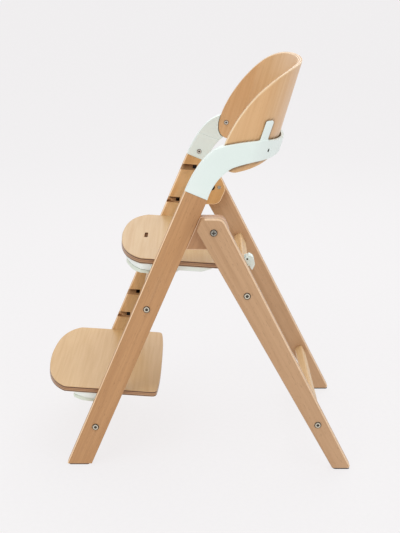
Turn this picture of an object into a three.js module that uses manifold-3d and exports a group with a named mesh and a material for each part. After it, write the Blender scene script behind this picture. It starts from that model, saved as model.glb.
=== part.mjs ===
// Folding wooden baby high chair.
// Millimetres, +Z up. The chair faces -Y, and +X is the sitter's left.
// The origin is on the floor, at the middle of the chair's overall box.
import * as THREE from 'three';
import { mergeVertices } from 'three/addons/utils/BufferGeometryUtils.js';
import Module from 'manifold-3d';

const wasm = await Module();
wasm.setup();

// ---------------------------------------------------------------- driving dimensions

const GAP = 0.3;                 // air between pieces that touch
const ORIGIN_SHIFT_Y = 9.5;       // moves the drawing so that the overall box is centred on Y

// Side frames: front legs and hinge plates share one layer, the rear legs lie outside them.
const BOARD = 22;                // thickness of legs and hinge plates
const FRONT_OUT = 208;           // outer face of a front leg from the middle plane
const FRONT_IN = FRONT_OUT - BOARD;
const REAR_IN = FRONT_OUT + GAP;
const REAR_OUT = REAR_IN + BOARD;

// Front leg, drawn in the side plane as y against z.
const LEG_FOOT_Y = -294;         // front edge where it meets the floor
const LEG_SLOPE = 0.4253;        // how far the leg moves back per millimetre of height
const LEG_WIDTH = 50;            // across the leg
const FOOT_LIFT = 3;             // wood ends this far above the floor, on its glides
const SEAM_FRONT = [-31, 618];   // front corner of the joint between leg and armrest
const TENON = { width: 34, thick: 12, length: 38 };

// Seat and footrest grooves in the inner faces of the front legs.
const GROOVE = { top: 514, pitch: 58.8, count: 7, height: 14, length: 27, depth: 7 };
const UPPER_GROOVE = { top: 594, length: 34 };
const BOARD_SLOPE = 4;           // degrees that the boards fall towards the back
const LOCK_HOLE = { side: 9, depth: 8, from: 17.4 };

// Rear leg: a tapered board.
const REAR_FRONT_EDGE = { y: 290.7, slope: 0.5523 };
const REAR_BACK_EDGE = { y: 331.7, slope: 0.5079 };
const REAR_TOP = 565;
const REAR_ANGLE = 27.93;        // degrees from upright, along its middle line
const PIVOT = [28, 536];
const FOLD_ANGLE = 51;           // degrees that the rear frame swings forward
const STOP_RADIUS = 18;          // from the pivot to the stop pin

// Crossbars: centre in the side plane, thickness and height along the leg.
const FRONT_BAR_UP = { at: [-112.5, 363], thick: 20, high: 32 };
const FRONT_BAR_LOW = { at: [-227.7, 92], thick: 20, high: 32 };
const REAR_BAR_UP = { at: [98, 400], thick: 20, high: 31 };
const REAR_BAR_LOW = { at: [254, 107], thick: 20, high: 25 };

// Backrest shell and armrest hoop: a U in plan that leans back.
const LEAN = 0.29;               // backward shift per millimetre of height
const LEAN_Z = 700;              // height at which the plan curves below are given
const BEND_Y = 98;               // where the straight sides of the U end
const SHELL_OUT = { half: 198, depth: 73 };
const SHELL_IN = { half: 188, depth: 63 };
const HOOP_OUT = { half: FRONT_OUT, depth: 84 };
const HOOP_IN = { half: SHELL_OUT.half + GAP, depth: 76.3 };  // stands off the shell behind
const SHELL_TOP = 866;
const BACK_BOLT = [62, 693];
const ARM_BOLT = [-2, 624];

// Seat and footrest boards.
const PLY = 12.5;
const PLY_LIFT = 0.1;            // underside of the ply above the top of its groove
const BOARD_HALF = 185;
// Groove counted down from the highest of the seven; fronts from the groove's mouth; the rear
// of the rail's underside as points.
const SEAT = {
  groove: 1, front: -76, depth: 236, leverFront: -61, slot: true,
  railRear: [[52, -13.4], [58, -9.4], [104, -9.4, 14], [125, -2]],
};
const FOOTREST = {
  groove: 6, front: -121, depth: 257, leverFront: -52, slot: false, railRear: [[48, -13.4, 9]],
};
const CARRIER_INNER = 128;       // inner edge of a carrier from the middle plane
const SEAT_SLOT = { half: 20, width: 7.5, fromFront: 54 };

const ROUND_STEPS = 4;           // segments in a rounded corner
const CIRCLE_STEPS = 12;

// ---------------------------------------------------------------- colours

const BEECH = { color: 0xbe8e62, roughness: 0.5, metalness: 0 };
const BEECH_PALE = { color: 0xc9a480, roughness: 0.5, metalness: 0 };
const PLYWOOD = { color: 0xdcbf98, roughness: 0.45, metalness: 0 };
const SHELL_PLY = { color: 0xcf9f6e, roughness: 0.45, metalness: 0 };
const WHITE_PLASTIC = { color: 0xe1ece8, roughness: 0.35, metalness: 0 };
const STEEL = { color: 0xa9aaa6, roughness: 0.3, metalness: 1 };
const DARK_STEEL = { color: 0x6e6458, roughness: 0.4, metalness: 1 };
const DARK_PLASTIC = { color: 0x3a342e, roughness: 0.6, metalness: 0 };

const chair = new THREE.Group();
chair.position.y = ORIGIN_SHIFT_Y;

// ---------------------------------------------------------------- geometry helpers

function toSolid(geometry) {
  const bare = geometry.clone();
  bare.deleteAttribute('normal');
  bare.deleteAttribute('uv');
  const merged = mergeVertices(bare, 1e-4);
  return new wasm.Manifold(new wasm.Mesh({
    numProp: 3,
    vertProperties: new Float32Array(merged.attributes.position.array),
    triVerts: new Uint32Array(merged.index.array),
  }));
}

function toGeometry(solid) {
  const mesh = solid.getMesh();
  const geometry = new THREE.BufferGeometry();
  geometry.setAttribute('position', new THREE.BufferAttribute(mesh.vertProperties, 3));
  geometry.setIndex(new THREE.BufferAttribute(mesh.triVerts, 1));
  return geometry;
}

function cut(solid, ...tools) {
  return tools.reduce((left, tool) => left.subtract(tool), solid);
}

function join(solid, ...others) {
  return others.reduce((sum, other) => sum.add(other), solid);
}

// A mirror image in the middle plane, with its faces still pointing out.
function mirrored(geometry) {
  const copy = geometry.clone();
  copy.applyMatrix4(new THREE.Matrix4().makeScale(-1, 1, 1));
  const index = copy.index.array;
  for (let i = 0; i < index.length; i += 3) {
    [index[i], index[i + 1]] = [index[i + 1], index[i]];
  }
  return copy;
}

function addPiece(name, geometry, look, parent = chair) {
  const mesh = new THREE.Mesh(geometry, new THREE.MeshStandardMaterial(look));
  mesh.name = name;
  parent.add(mesh);
  return mesh;
}

// One piece on the sitter's left (+X) and its mirror image on the right.
function addPair(name, solid, look, parent = chair) {
  const geometry = toGeometry(solid);
  addPiece(`${name}_left`, geometry, look, parent);
  addPiece(`${name}_right`, mirrored(geometry), look, parent);
}

// Turns corners [a, b, radius] into outline points, with arcs at the rounded ones.
function roundCorners(corners) {
  const points = [];
  corners.forEach(([a, b, radius = 0], i) => {
    const here = new THREE.Vector2(a, b);
    if (radius === 0) {
      points.push(here);
      return;
    }
    const before = new THREE.Vector2(...corners.at(i - 1));
    const after = new THREE.Vector2(...corners[(i + 1) % corners.length]);
    const toBefore = before.sub(here).normalize();
    const toAfter = after.sub(here).normalize();
    const half = Math.acos(THREE.MathUtils.clamp(toBefore.dot(toAfter), -1, 1)) / 2;
    const reach = radius / Math.tan(half);
    const centre = toBefore.clone().add(toAfter).normalize()
      .multiplyScalar(radius / Math.sin(half)).add(here);
    const start = toBefore.clone().multiplyScalar(reach).add(here).sub(centre);
    const end = toAfter.clone().multiplyScalar(reach).add(here).sub(centre);
    const turn = Math.atan2(start.cross(end), start.dot(end));
    for (let k = 0; k <= ROUND_STEPS; k += 1) {
      points.push(start.clone().rotateAround(new THREE.Vector2(), (turn * k) / ROUND_STEPS)
        .add(centre));
    }
  });
  return points;
}

function asShape(outline) {
  return Array.isArray(outline) ? new THREE.Shape(roundCorners(outline)) : outline;
}

// An outline drawn as (y, z), extruded along X.
const SIDE_TO_WORLD = new THREE.Matrix4().makeBasis(
  new THREE.Vector3(0, 1, 0), new THREE.Vector3(0, 0, 1), new THREE.Vector3(1, 0, 0));

function prismX(outline, x0, x1, curveSegments = 10) {
  const geometry = new THREE.ExtrudeGeometry(asShape(outline), {
    depth: x1 - x0, bevelEnabled: false, curveSegments,
  });
  return toSolid(geometry.applyMatrix4(SIDE_TO_WORLD).translate(x0, 0, 0));
}

// An outline drawn as (x, y), extruded along Z.
function prismZ(outline, z0, z1, curveSegments = 12) {
  const geometry = new THREE.ExtrudeGeometry(asShape(outline), {
    depth: z1 - z0, bevelEnabled: false, curveSegments,
  });
  return toSolid(geometry.translate(0, 0, z0));
}

function boxSolid(x0, x1, y0, y1, z0, z1) {
  const geometry = new THREE.BoxGeometry(x1 - x0, y1 - y0, z1 - z0);
  return toSolid(geometry.translate((x0 + x1) / 2, (y0 + y1) / 2, (z0 + z1) / 2));
}

// A round rod along X, as a bore tool or a pin.
function rodX([y, z], radius, x0, x1) {
  const geometry = new THREE.CylinderGeometry(radius, radius, x1 - x0, CIRCLE_STEPS);
  geometry.rotateZ(-Math.PI / 2);
  return toSolid(geometry.translate((x0 + x1) / 2, y, z));
}

// A screw whose underside of head is at the origin, with its head towards +X.
function screwGeometry({ head, rise, shank, length, socket, sink }) {
  const profile = [
    [0, -length], [shank, -length], [shank, 0], [head, 0], [head, rise * 0.45],
    [head * 0.82, rise], [socket, rise], [socket, rise - sink], [0, rise - sink],
  ];
  const geometry = new THREE.LatheGeometry(
    profile.map(([r, h]) => new THREE.Vector2(r, h)), CIRCLE_STEPS);
  return toGeometry(toSolid(geometry.rotateZ(-Math.PI / 2)));
}

// The same screw on both sides, heads pointing away from the middle when outward is true.
function addScrewPair(name, size, [y, z], seat, outward, look) {
  for (const [side, sign] of [['left', 1], ['right', -1]]) {
    const screw = addPiece(`${name}_${side}`, screwGeometry(size), look);
    screw.position.set(sign * seat, y, z);
    screw.rotation.z = (sign > 0) === outward ? 0 : Math.PI;
  }
}

// ---------------------------------------------------------------- side-plane outlines

const legAngle = Math.atan(LEG_SLOPE);
const alongLeg = [Math.sin(legAngle), Math.cos(legAngle)];
const acrossLeg = [Math.cos(legAngle), -Math.sin(legAngle)];
const legWidthY = LEG_WIDTH / Math.cos(legAngle);
const legFrontY = (z) => LEG_FOOT_Y + LEG_SLOPE * z;
const legBackY = (z) => legFrontY(z) + legWidthY;
const seamBack = SEAM_FRONT.map((value, i) => value + LEG_WIDTH * acrossLeg[i]);

// A rectangle set along the leg: centred across it, from one distance past the seam to another.
function alongSeam(width, from, to) {
  const middle = SEAM_FRONT.map((value, i) => value + (LEG_WIDTH / 2) * acrossLeg[i]);
  const place = (across, along) => middle.map(
    (value, i) => value + across * acrossLeg[i] + along * alongLeg[i]);
  const half = width / 2;
  return [place(-half, from), place(half, from), place(half, to), place(-half, to)];
}

// A rounded rectangle in the side plane, its height turned by the given lean.
function barOutline({ at, thick, high }, leanDegrees, radius) {
  const lean = THREE.MathUtils.degToRad(leanDegrees);
  const corners = [[-1, -1], [1, -1], [1, 1], [-1, 1]];
  return corners.map(([a, b]) => {
    const across = (a * thick) / 2;
    const along = (b * high) / 2;
    return [
      at[0] + across * Math.cos(lean) + along * Math.sin(lean),
      at[1] - across * Math.sin(lean) + along * Math.cos(lean),
      radius,
    ];
  });
}

// ---------------------------------------------------------------- front frame

const grooveTops = [UPPER_GROOVE.top];
for (let k = 0; k < GROOVE.count; k += 1) {
  grooveTops.push(GROOVE.top - GROOVE.pitch * k);
}
const boardTilt = THREE.MathUtils.degToRad(BOARD_SLOPE);

// A box drawn in a groove's own frame: y from its mouth along it, z up from its top.
function grooveBox(top, x0, x1, y0, y1, z0, z1) {
  const geometry = new THREE.BoxGeometry(x1 - x0, y1 - y0, z1 - z0);
  geometry.translate((x0 + x1) / 2, (y0 + y1) / 2, (z0 + z1) / 2).rotateX(-boardTilt);
  return toSolid(geometry.translate(0, legFrontY(top), top));
}

// A slot in the leg's inner face, open at the front edge, with a square lock hole at its end.
function grooveTools(top) {
  const length = top === UPPER_GROOVE.top ? UPPER_GROOVE.length : GROOVE.length;
  const floor = FRONT_IN + GROOVE.depth;
  const holeEnd = length - GROOVE.length + LOCK_HOLE.from + LOCK_HOLE.side;
  const middle = -GROOVE.height / 2;
  const half = LOCK_HOLE.side / 2;
  return [
    grooveBox(top, FRONT_IN - 5, floor, -20, length, -GROOVE.height, 0),
    grooveBox(top, FRONT_IN, floor + LOCK_HOLE.depth, holeEnd - LOCK_HOLE.side, holeEnd,
      middle - half, middle + half),
  ];
}

const PLATE_TOP = 563.5;
const PLATE_BOTTOM = 494;
const DOWEL = { radius: 4, reach: 16, heights: [514, 545] };

// A tool or dowel that crosses the joint between leg and hinge plate, square to the leg's edge.
function acrossJoint(z, radius, reach) {
  const geometry = new THREE.CylinderGeometry(radius, radius, reach * 2, 12);
  geometry.rotateX(-legAngle);
  return toSolid(geometry.translate((FRONT_IN + FRONT_OUT) / 2, legBackY(z), z));
}

function frontLeg() {
  const board = prismX([
    [legFrontY(FOOT_LIFT), FOOT_LIFT, 2], [legBackY(FOOT_LIFT), FOOT_LIFT, 2],
    seamBack, SEAM_FRONT,
  ], FRONT_IN, FRONT_OUT);
  const middle = (FRONT_IN + FRONT_OUT) / 2;
  const tenon = prismX(alongSeam(TENON.width, -1, TENON.length),
    middle - TENON.thick / 2, middle + TENON.thick / 2);
  const bores = [FRONT_BAR_UP, FRONT_BAR_LOW].map(
    (bar) => rodX(bar.at, BAR_BOLT.shank + GAP, FRONT_IN - 1, FRONT_OUT + 1));
  const dowelBores = DOWEL.heights.map(
    (z) => acrossJoint(z, DOWEL.radius + GAP, DOWEL.reach + GAP));
  return cut(join(board, tenon), ...grooveTops.flatMap(grooveTools), ...bores, ...dowelBores,
    rodX(ARM_BOLT, SMALL_BOLT.shank + GAP, FRONT_IN - 1, FRONT_OUT + 1));
}

const BAR_BOLT = { head: 7.4, rise: 2, shank: 3.5, length: 58, socket: 3, sink: 1.6 };
const SMALL_BOLT = { head: 5.4, rise: 2, shank: 2.6, length: 17, socket: 2.2, sink: 1.4 };
const PIVOT_BOLT = { head: 7.6, rise: 2.6, shank: 4.9, length: 42, socket: 2.6, sink: 1.8 };
const BACK_SCREW = { head: 4.4, rise: 1.8, shank: 2, length: 12, socket: 1.8, sink: 1.2 };

function crossbar(bar, halfLength, lean) {
  const body = prismX(barOutline(bar, lean, 4), -halfLength, halfLength);
  const bore = (x0, x1) => rodX(bar.at, BAR_BOLT.shank + GAP, x0, x1);
  const deep = BAR_BOLT.length - BOARD + 2;
  return cut(body, bore(halfLength - deep, halfLength + 1),
    bore(-halfLength - 1, -halfLength + deep));
}

function hingePlate() {
  const plate = prismX([
    [legBackY(PLATE_BOTTOM) + GAP, PLATE_BOTTOM], [46, PLATE_BOTTOM, 20],
    [62, 532, 16], [50, PLATE_TOP, 18], [legBackY(PLATE_TOP) + GAP, PLATE_TOP],
  ], FRONT_IN, FRONT_OUT);
  const stopPin = [PIVOT[0] + STOP_RADIUS, PIVOT[1]];
  return cut(plate,
    rodX(PIVOT, PIVOT_BOLT.shank + GAP, FRONT_IN - 1, FRONT_OUT + 1),
    rodX(PIVOT, PIVOT_NUT.radius + GAP, FRONT_IN - 1, FRONT_IN + PIVOT_NUT.recess),
    rodX(stopPin, STOP_PIN_RADIUS + GAP, FRONT_IN - 1, FRONT_OUT + 1),
    ...DOWEL.heights.map((z) => acrossJoint(z, DOWEL.radius + GAP, DOWEL.reach + GAP)));
}

const PIVOT_NUT = { radius: 7.6, recess: 8, height: 5.4 };
const STOP_PIN_RADIUS = 4;
const STOP_PIN_REACH = 6.5;

function pivotNut() {
  const hex = new THREE.CylinderGeometry(PIVOT_NUT.radius, PIVOT_NUT.radius, PIVOT_NUT.height, 6);
  hex.rotateZ(-Math.PI / 2);
  const x = FRONT_IN + PIVOT_NUT.recess - GAP - PIVOT_NUT.height / 2;
  return cut(toSolid(hex.translate(x, ...PIVOT)),
    rodX(PIVOT, PIVOT_BOLT.shank + GAP, FRONT_IN - 1, FRONT_IN + PIVOT_NUT.recess));
}

function glide(y0, y1, x0, x1) {
  const r = 5;
  return prismZ([[x0, y0, r], [x1, y0, r], [x1, y1, r], [x0, y1, r]], 0, FOOT_LIFT - GAP);
}

addPair('front_leg', frontLeg(), BEECH);
addPiece('front_crossbar_upper',
  toGeometry(crossbar(FRONT_BAR_UP, FRONT_IN - GAP, THREE.MathUtils.radToDeg(legAngle))), BEECH);
addPiece('front_crossbar_lower',
  toGeometry(crossbar(FRONT_BAR_LOW, FRONT_IN - GAP, THREE.MathUtils.radToDeg(legAngle))), BEECH);
addScrewPair('front_bolt_upper', BAR_BOLT, FRONT_BAR_UP.at, FRONT_OUT + 0.2, true, DARK_STEEL);
addScrewPair('front_bolt_lower', BAR_BOLT, FRONT_BAR_LOW.at, FRONT_OUT + 0.2, true, DARK_STEEL);
addPair('hinge_plate', hingePlate(), BEECH);
DOWEL.heights.forEach((z, i) => {
  addPair(`plate_dowel_${i + 1}`, acrossJoint(z, DOWEL.radius, DOWEL.reach), PLYWOOD);
});
addPair('front_glide', glide(-289, -244, FRONT_IN + 3, FRONT_OUT - 3), DARK_PLASTIC);
addPair('pivot_nut', pivotNut(), DARK_STEEL);
addPair('stop_pin',
  rodX([PIVOT[0] + STOP_RADIUS, PIVOT[1]], STOP_PIN_RADIUS, FRONT_IN + 0.4,
    FRONT_OUT + STOP_PIN_REACH), STEEL);

// ---------------------------------------------------------------- armrest hoop and backrest

// The area inside a U in plan: straight sides from the front, then half an ellipse.
function bendArea({ half, depth }, frontY) {
  const shape = new THREE.Shape();
  shape.moveTo(-half, frontY);
  shape.lineTo(half, frontY);
  shape.lineTo(half, BEND_Y);
  shape.absellipse(0, BEND_Y, half, depth, 0, Math.PI, false, 0);
  shape.closePath();
  return shape;
}

// That area between two heights, leaning back with the shell.
function leaningBlock(bend, frontY, z0, z1) {
  const geometry = new THREE.ExtrudeGeometry(bendArea(bend, frontY), {
    depth: z1 - z0, bevelEnabled: false, curveSegments: 24,
  });
  geometry.translate(0, 0, z0);
  const lean = new THREE.Matrix4().set(
    1, 0, 0, 0,
    0, 1, LEAN, -LEAN * LEAN_Z,
    0, 0, 1, 0,
    0, 0, 0, 1);
  return toSolid(geometry.applyMatrix4(lean));
}

function leaningWall(outer, inner, z0, z1) {
  return cut(leaningBlock(outer, -60, z0, z1), leaningBlock(inner, -80, z0 - 5, z1 + 5));
}

// The side view of the armrest band, from its joint with the leg to the middle of the back.
function bandShape() {
  const shape = new THREE.Shape();
  shape.moveTo(...SEAM_FRONT);
  shape.lineTo(...seamBack);
  shape.bezierCurveTo(22, 625, 44, 655, 68, 666);
  shape.bezierCurveTo(88, 673, 104, 677, 124, 677.5);
  shape.lineTo(200, 677);
  shape.lineTo(200, 692);
  shape.bezierCurveTo(176, 712, 146, 720, 120, 720.5);
  shape.bezierCurveTo(98, 719.5, 75, 715.5, 52, 711);
  shape.bezierCurveTo(14.7, 703.5, -13.4, 659.4, ...SEAM_FRONT);
  return shape;
}

// The side view of the shell, grown outwards by a margin on its front and lower edges.
function shellShape(margin) {
  const front = 44 - margin;
  const lowerZ = (y) => 653 - margin + 0.25 * (y - 70);
  const corner = roundCorners([
    [front, 700], [front, lowerZ(front), 26 + margin], [240, lowerZ(240)],
  ]);
  const shape = new THREE.Shape();
  shape.moveTo(front, 690);
  corner.slice(1).forEach((point) => shape.lineTo(point.x, point.y));
  shape.lineTo(240, SHELL_TOP + margin);
  shape.lineTo(214, SHELL_TOP + margin);
  shape.bezierCurveTo(136 - margin, 862 + margin, 54 - margin, 750, front, 690);
  return shape;
}

const TAB = { lean: 0.33, base: [126.8, 712], width: 17, height: 47.5, round: 4.5, thick: 5 };
const COVER = { thick: 2.7, seam: [[-8, 671], [44, 652]] };
const BEND_SCREW = { back: 43.5, z: 696.5 };   // back from the start of the bend

// The tongue that rises from the band and holds the back of the shell.
function tabShape() {
  const [y, z] = TAB.base;
  const lean = TAB.lean * TAB.height;
  return [
    [y - TAB.width / 2, z], [y + TAB.width / 2, z],
    [y + lean + TAB.width / 2, z + TAB.height, TAB.round],
    [y + lean - TAB.width / 2, z + TAB.height, TAB.round],
  ];
}

// The inner side of the arm above the seam and ahead of the shell, closed by a cover.
function coverTool(x0, x1, gap, shellMargin) {
  const [[y0, z0], [y1, z1]] = COVER.seam;
  const above = [[y0 - 20, z0 + gap], [y0, z0 + gap], [y1, z1 + gap], [140, z1 + gap],
    [140, 760], [y0 - 20, 760]];
  return cut(prismX(above, x0, x1), prismX(shellShape(shellMargin), x0 - 1, x1 + 1));
}

function armCover() {
  return coverTool(FRONT_IN, FRONT_IN + COVER.thick, GAP, 1 + GAP)
    .intersect(prismX(bandShape(), FRONT_IN - 5, FRONT_OUT, 9));
}

const backScrew = hoopScrewPlace();

// The point on the hoop's bend where its rear screw sits, and the way the screw points.
function hoopScrewPlace() {
  const turn = Math.asin(BEND_SCREW.back / HOOP_OUT.depth);
  const x = HOOP_OUT.half * Math.cos(turn);
  const outward = Math.atan2(Math.sin(turn) / HOOP_OUT.depth, Math.cos(turn) / HOOP_OUT.half);
  return { at: new THREE.Vector3(x, BEND_Y + BEND_SCREW.back, BEND_SCREW.z), outward };
}

function backScrewTool(radius, from, to) {
  const geometry = new THREE.CylinderGeometry(radius, radius, to - from, CIRCLE_STEPS);
  geometry.rotateZ(-Math.PI / 2).translate((from + to) / 2, 0, 0);
  geometry.rotateZ(backScrew.outward);
  return toSolid(geometry.translate(...backScrew.at.toArray()));
}

function mirroredSolid(solid) {
  return toSolid(mirrored(toGeometry(solid)));
}

function armHoop() {
  const wall = leaningWall(HOOP_OUT, HOOP_IN, 570, 760);
  const armBlock = cut(boxSolid(FRONT_IN, FRONT_OUT, -60, BEND_Y, 570, 760),
    prismX(shellShape(1), FRONT_IN - 5, FRONT_OUT + 5));
  const middle = (FRONT_IN + FRONT_OUT) / 2;
  const socket = prismX(alongSeam(TENON.width + 2 * GAP, -5, TENON.length + GAP),
    middle - TENON.thick / 2 - GAP, middle + TENON.thick / 2 + GAP);
  const leftTools = [
    socket,
    coverTool(FRONT_IN - 1, FRONT_IN + COVER.thick + GAP, 0, -4),
    rodX(ARM_BOLT, SMALL_BOLT.shank + GAP, FRONT_IN - 1, FRONT_OUT - 3),
    rodX(BACK_BOLT, SMALL_BOLT.shank + GAP, FRONT_IN, FRONT_OUT - 1.6),
    backScrewTool(BACK_SCREW.shank + GAP, -40, 5),
    backScrewTool(BACK_SCREW.head + GAP, -2.4, 5),
  ];
  const tabInner = { half: HOOP_IN.half + 0.2, depth: HOOP_IN.depth + 0.2 };
  const tabOuter = { half: tabInner.half + TAB.thick, depth: tabInner.depth + TAB.thick };
  const tab = leaningWall(tabOuter, tabInner, 690, 790)
    .intersect(prismX(tabShape(), 60, FRONT_OUT + 5));
  const band = join(wall, armBlock, mirroredSolid(armBlock))
    .intersect(prismX(bandShape(), -FRONT_OUT - 1, FRONT_OUT + 1, 9));
  return cut(join(band, tab, mirroredSolid(tab)), ...leftTools, ...leftTools.map(mirroredSolid));
}

function backrestShell() {
  const wall = leaningWall(SHELL_OUT, SHELL_IN, 620, 900);
  const tools = [
    rodX(BACK_BOLT, SMALL_BOLT.shank + GAP, SHELL_IN.half - 5, SHELL_OUT.half + 5),
    backScrewTool(BACK_SCREW.shank + GAP, -BACK_SCREW.length - 3, 5),
  ];
  return cut(wall.intersect(prismX(shellShape(0), -220, 220, 16)),
    ...tools, ...tools.map(mirroredSolid));
}

addPiece('armrest_hoop', toGeometry(armHoop()), WHITE_PLASTIC);
addPair('arm_inner_cover', armCover(), WHITE_PLASTIC);
addPiece('backrest_shell', toGeometry(backrestShell()), SHELL_PLY);
addScrewPair('arm_bolt', SMALL_BOLT, ARM_BOLT, FRONT_IN - 0.2, false, STEEL);
addScrewPair('backrest_bolt', SMALL_BOLT, BACK_BOLT, SHELL_IN.half - 0.2, false, STEEL);
for (const [side, sign] of [['left', 1], ['right', -1]]) {
  const screw = addPiece(`backrest_screw_${side}`, screwGeometry(BACK_SCREW), STEEL);
  const inset = BACK_SCREW.rise + 0.4;
  const { at, outward } = backScrew;
  screw.position.set(sign * (at.x - inset * Math.cos(outward)),
    at.y - inset * Math.sin(outward), at.z);
  screw.rotation.z = sign > 0 ? outward : Math.PI - outward;
}

// ---------------------------------------------------------------- rear frame

const rearFrontY = (z) => REAR_FRONT_EDGE.y - REAR_FRONT_EDGE.slope * z;
const rearBackY = (z) => REAR_BACK_EDGE.y - REAR_BACK_EDGE.slope * z;

// The arc that the stop pin follows in the rear leg as the frame folds.
function stopGroove() {
  const half = STOP_PIN_RADIUS + 0.6;
  const shape = new THREE.Shape();
  const from = THREE.MathUtils.degToRad(-2);
  const to = THREE.MathUtils.degToRad(FOLD_ANGLE + 2);
  const end = (angle) => [
    PIVOT[0] + STOP_RADIUS * Math.cos(angle), PIVOT[1] + STOP_RADIUS * Math.sin(angle)];
  shape.absarc(...PIVOT, STOP_RADIUS + half, from, to, false);
  shape.absarc(...end(to), half, to, to + Math.PI, false);
  shape.absarc(...PIVOT, STOP_RADIUS - half, to, from, true);
  shape.absarc(...end(from), half, from + Math.PI, from + 2 * Math.PI, false);
  return prismX(shape, REAR_IN - 1, FRONT_OUT + STOP_PIN_REACH + 1, 8);
}

function rearLeg() {
  const board = prismX([
    [rearFrontY(FOOT_LIFT), FOOT_LIFT, 3], [rearBackY(FOOT_LIFT), FOOT_LIFT, 5],
    [46.5, REAR_TOP, 20], [3.5, REAR_TOP, 9], [-7, 539, 6],
  ], REAR_IN, REAR_OUT);
  return cut(board, stopGroove(),
    rodX(PIVOT, PIVOT_BOLT.shank + GAP, REAR_IN - 1, REAR_OUT + 1),
    ...[REAR_BAR_UP, REAR_BAR_LOW].map(
      (bar) => rodX(bar.at, BAR_BOLT.shank + GAP, REAR_IN - 1, REAR_OUT + 1)));
}

// Folding catch: a D-shaped plastic hook on a bracket behind the upper rear bar.
const HOOK = { half: 12, cheek: 4, pin: [5.5, 5.5], pinRadius: 2 };
const backNormal = [
  Math.cos(THREE.MathUtils.degToRad(REAR_ANGLE)), Math.sin(THREE.MathUtils.degToRad(REAR_ANGLE))];
const downBar = [backNormal[1], -backNormal[0]];

// A point behind the upper rear bar: so far out from its back face and so far down from its top.
function behindBar(out, down) {
  const top = REAR_BAR_UP.at.map((value, i) => value + (REAR_BAR_UP.thick / 2) * backNormal[i]
    - (REAR_BAR_UP.high / 2) * downBar[i]);
  return top.map((value, i) => value + out * backNormal[i] + down * downBar[i]);
}

function hookBracket() {
  const outline = [
    [...behindBar(GAP, 1), 1], [...behindBar(GAP, 22), 1],
    [...behindBar(3.5, 20), 1.5], [...behindBar(9.5, 11), 4], [...behindBar(9.5, 1.5), 4],
  ];
  const body = prismX(outline, -HOOK.half - HOOK.cheek, HOOK.half + HOOK.cheek);
  const plate = 1.6;
  const slot = prismX([behindBar(plate, -20), behindBar(plate, 40), behindBar(30, 40),
    behindBar(30, -20)], -HOOK.half - GAP, HOOK.half + GAP);
  return cut(body, slot, rodX(hookPin, HOOK.pinRadius + GAP, -20, 20));
}

const hookPin = behindBar(...HOOK.pin);

function foldHook() {
  const body = prismX([
    [...behindBar(2.2, 1.9), 3.5], [...behindBar(9.5, 1.2), 2], [...behindBar(13, -0.5), 3],
    [...behindBar(19, 10), 8], [...behindBar(15, 26), 9], [...behindBar(2.2, 36), 2],
  ], -HOOK.half, HOOK.half);
  return cut(body, rodX(hookPin, HOOK.pinRadius + GAP, -20, 20));
}

addPair('rear_leg', rearLeg(), BEECH_PALE);
addPiece('rear_crossbar_upper',
  toGeometry(crossbar(REAR_BAR_UP, REAR_IN - GAP, -REAR_ANGLE)), BEECH);
addPiece('rear_crossbar_lower',
  toGeometry(crossbar(REAR_BAR_LOW, REAR_IN - GAP, -REAR_ANGLE)), BEECH);
addScrewPair('rear_bolt_upper', BAR_BOLT, REAR_BAR_UP.at, REAR_OUT + 0.2, true, DARK_STEEL);
addScrewPair('rear_bolt_lower', BAR_BOLT, REAR_BAR_LOW.at, REAR_OUT + 0.2, true, DARK_STEEL);
addScrewPair('pivot_bolt', PIVOT_BOLT, PIVOT, REAR_OUT + 0.2, true, STEEL);
addPair('rear_glide', glide(291, 327, REAR_IN + 3, REAR_OUT - 3), DARK_PLASTIC);
addPiece('hook_bracket', toGeometry(hookBracket()), WHITE_PLASTIC);
addPiece('fold_hook', toGeometry(foldHook()), WHITE_PLASTIC);
addPiece('hook_pin',
  toGeometry(rodX(hookPin, HOOK.pinRadius, -HOOK.half - 3.8, HOOK.half + 3.8)), DARK_STEEL);

// ---------------------------------------------------------------- seat and footrest

// Each set is drawn in its groove's own frame: y runs back along the groove from its mouth,
// z is square to the boards, and z = 0 is the top of the groove.
function grooveFrame(index) {
  const top = GROOVE.top - GROOVE.pitch * index;
  const group = new THREE.Group();
  group.position.set(0, legFrontY(top), top);
  group.rotation.x = -boardTilt;
  chair.add(group);
  return group;
}

// A board outline in plan: wide round front corners, small round rear ones.
function plyShape({ front, depth }, inset) {
  const half = BOARD_HALF - inset;
  const y = front + inset;
  const back = front + depth - inset;
  const shape = new THREE.Shape();
  shape.moveTo(0, y);
  shape.bezierCurveTo(60, y + 1.5, 150, y + 4.5, half - 1, y + 50);
  shape.bezierCurveTo(half, y + 64, half, y + 78, half, y + 92);
  shape.lineTo(half, back - 18);
  shape.bezierCurveTo(half, back - 9, half - 4, back - 6, half - 14, back - 5);
  shape.bezierCurveTo(half - 60, back, 60, back, 0, back);
  shape.bezierCurveTo(-60, back, 60 - half, back, 14 - half, back - 5);
  shape.bezierCurveTo(4 - half, back - 6, -half, back - 9, -half, back - 18);
  shape.lineTo(-half, y + 92);
  shape.bezierCurveTo(-half, y + 78, -half, y + 64, 1 - half, y + 50);
  shape.bezierCurveTo(-150, y + 4.5, -60, y + 1.5, 0, y);
  return shape;
}

function plyBoard(set) {
  const board = prismZ(plyShape(set, 0), PLY_LIFT, PLY_LIFT + PLY, 7);
  if (!set.slot) {
    return board;
  }
  const y = set.front + SEAT_SLOT.fromFront;
  const { half, width } = SEAT_SLOT;
  return cut(board, boxSolid(-half, half, y - width / 2, y + width / 2, -20, 40));
}

const TONGUE_X = FRONT_IN + GROOVE.depth - 0.6;
const RAIL_DEEP = -13.4;
const LOCK_PIN = { side: 8.4, length: 40, reach: 6.6 };

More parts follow.
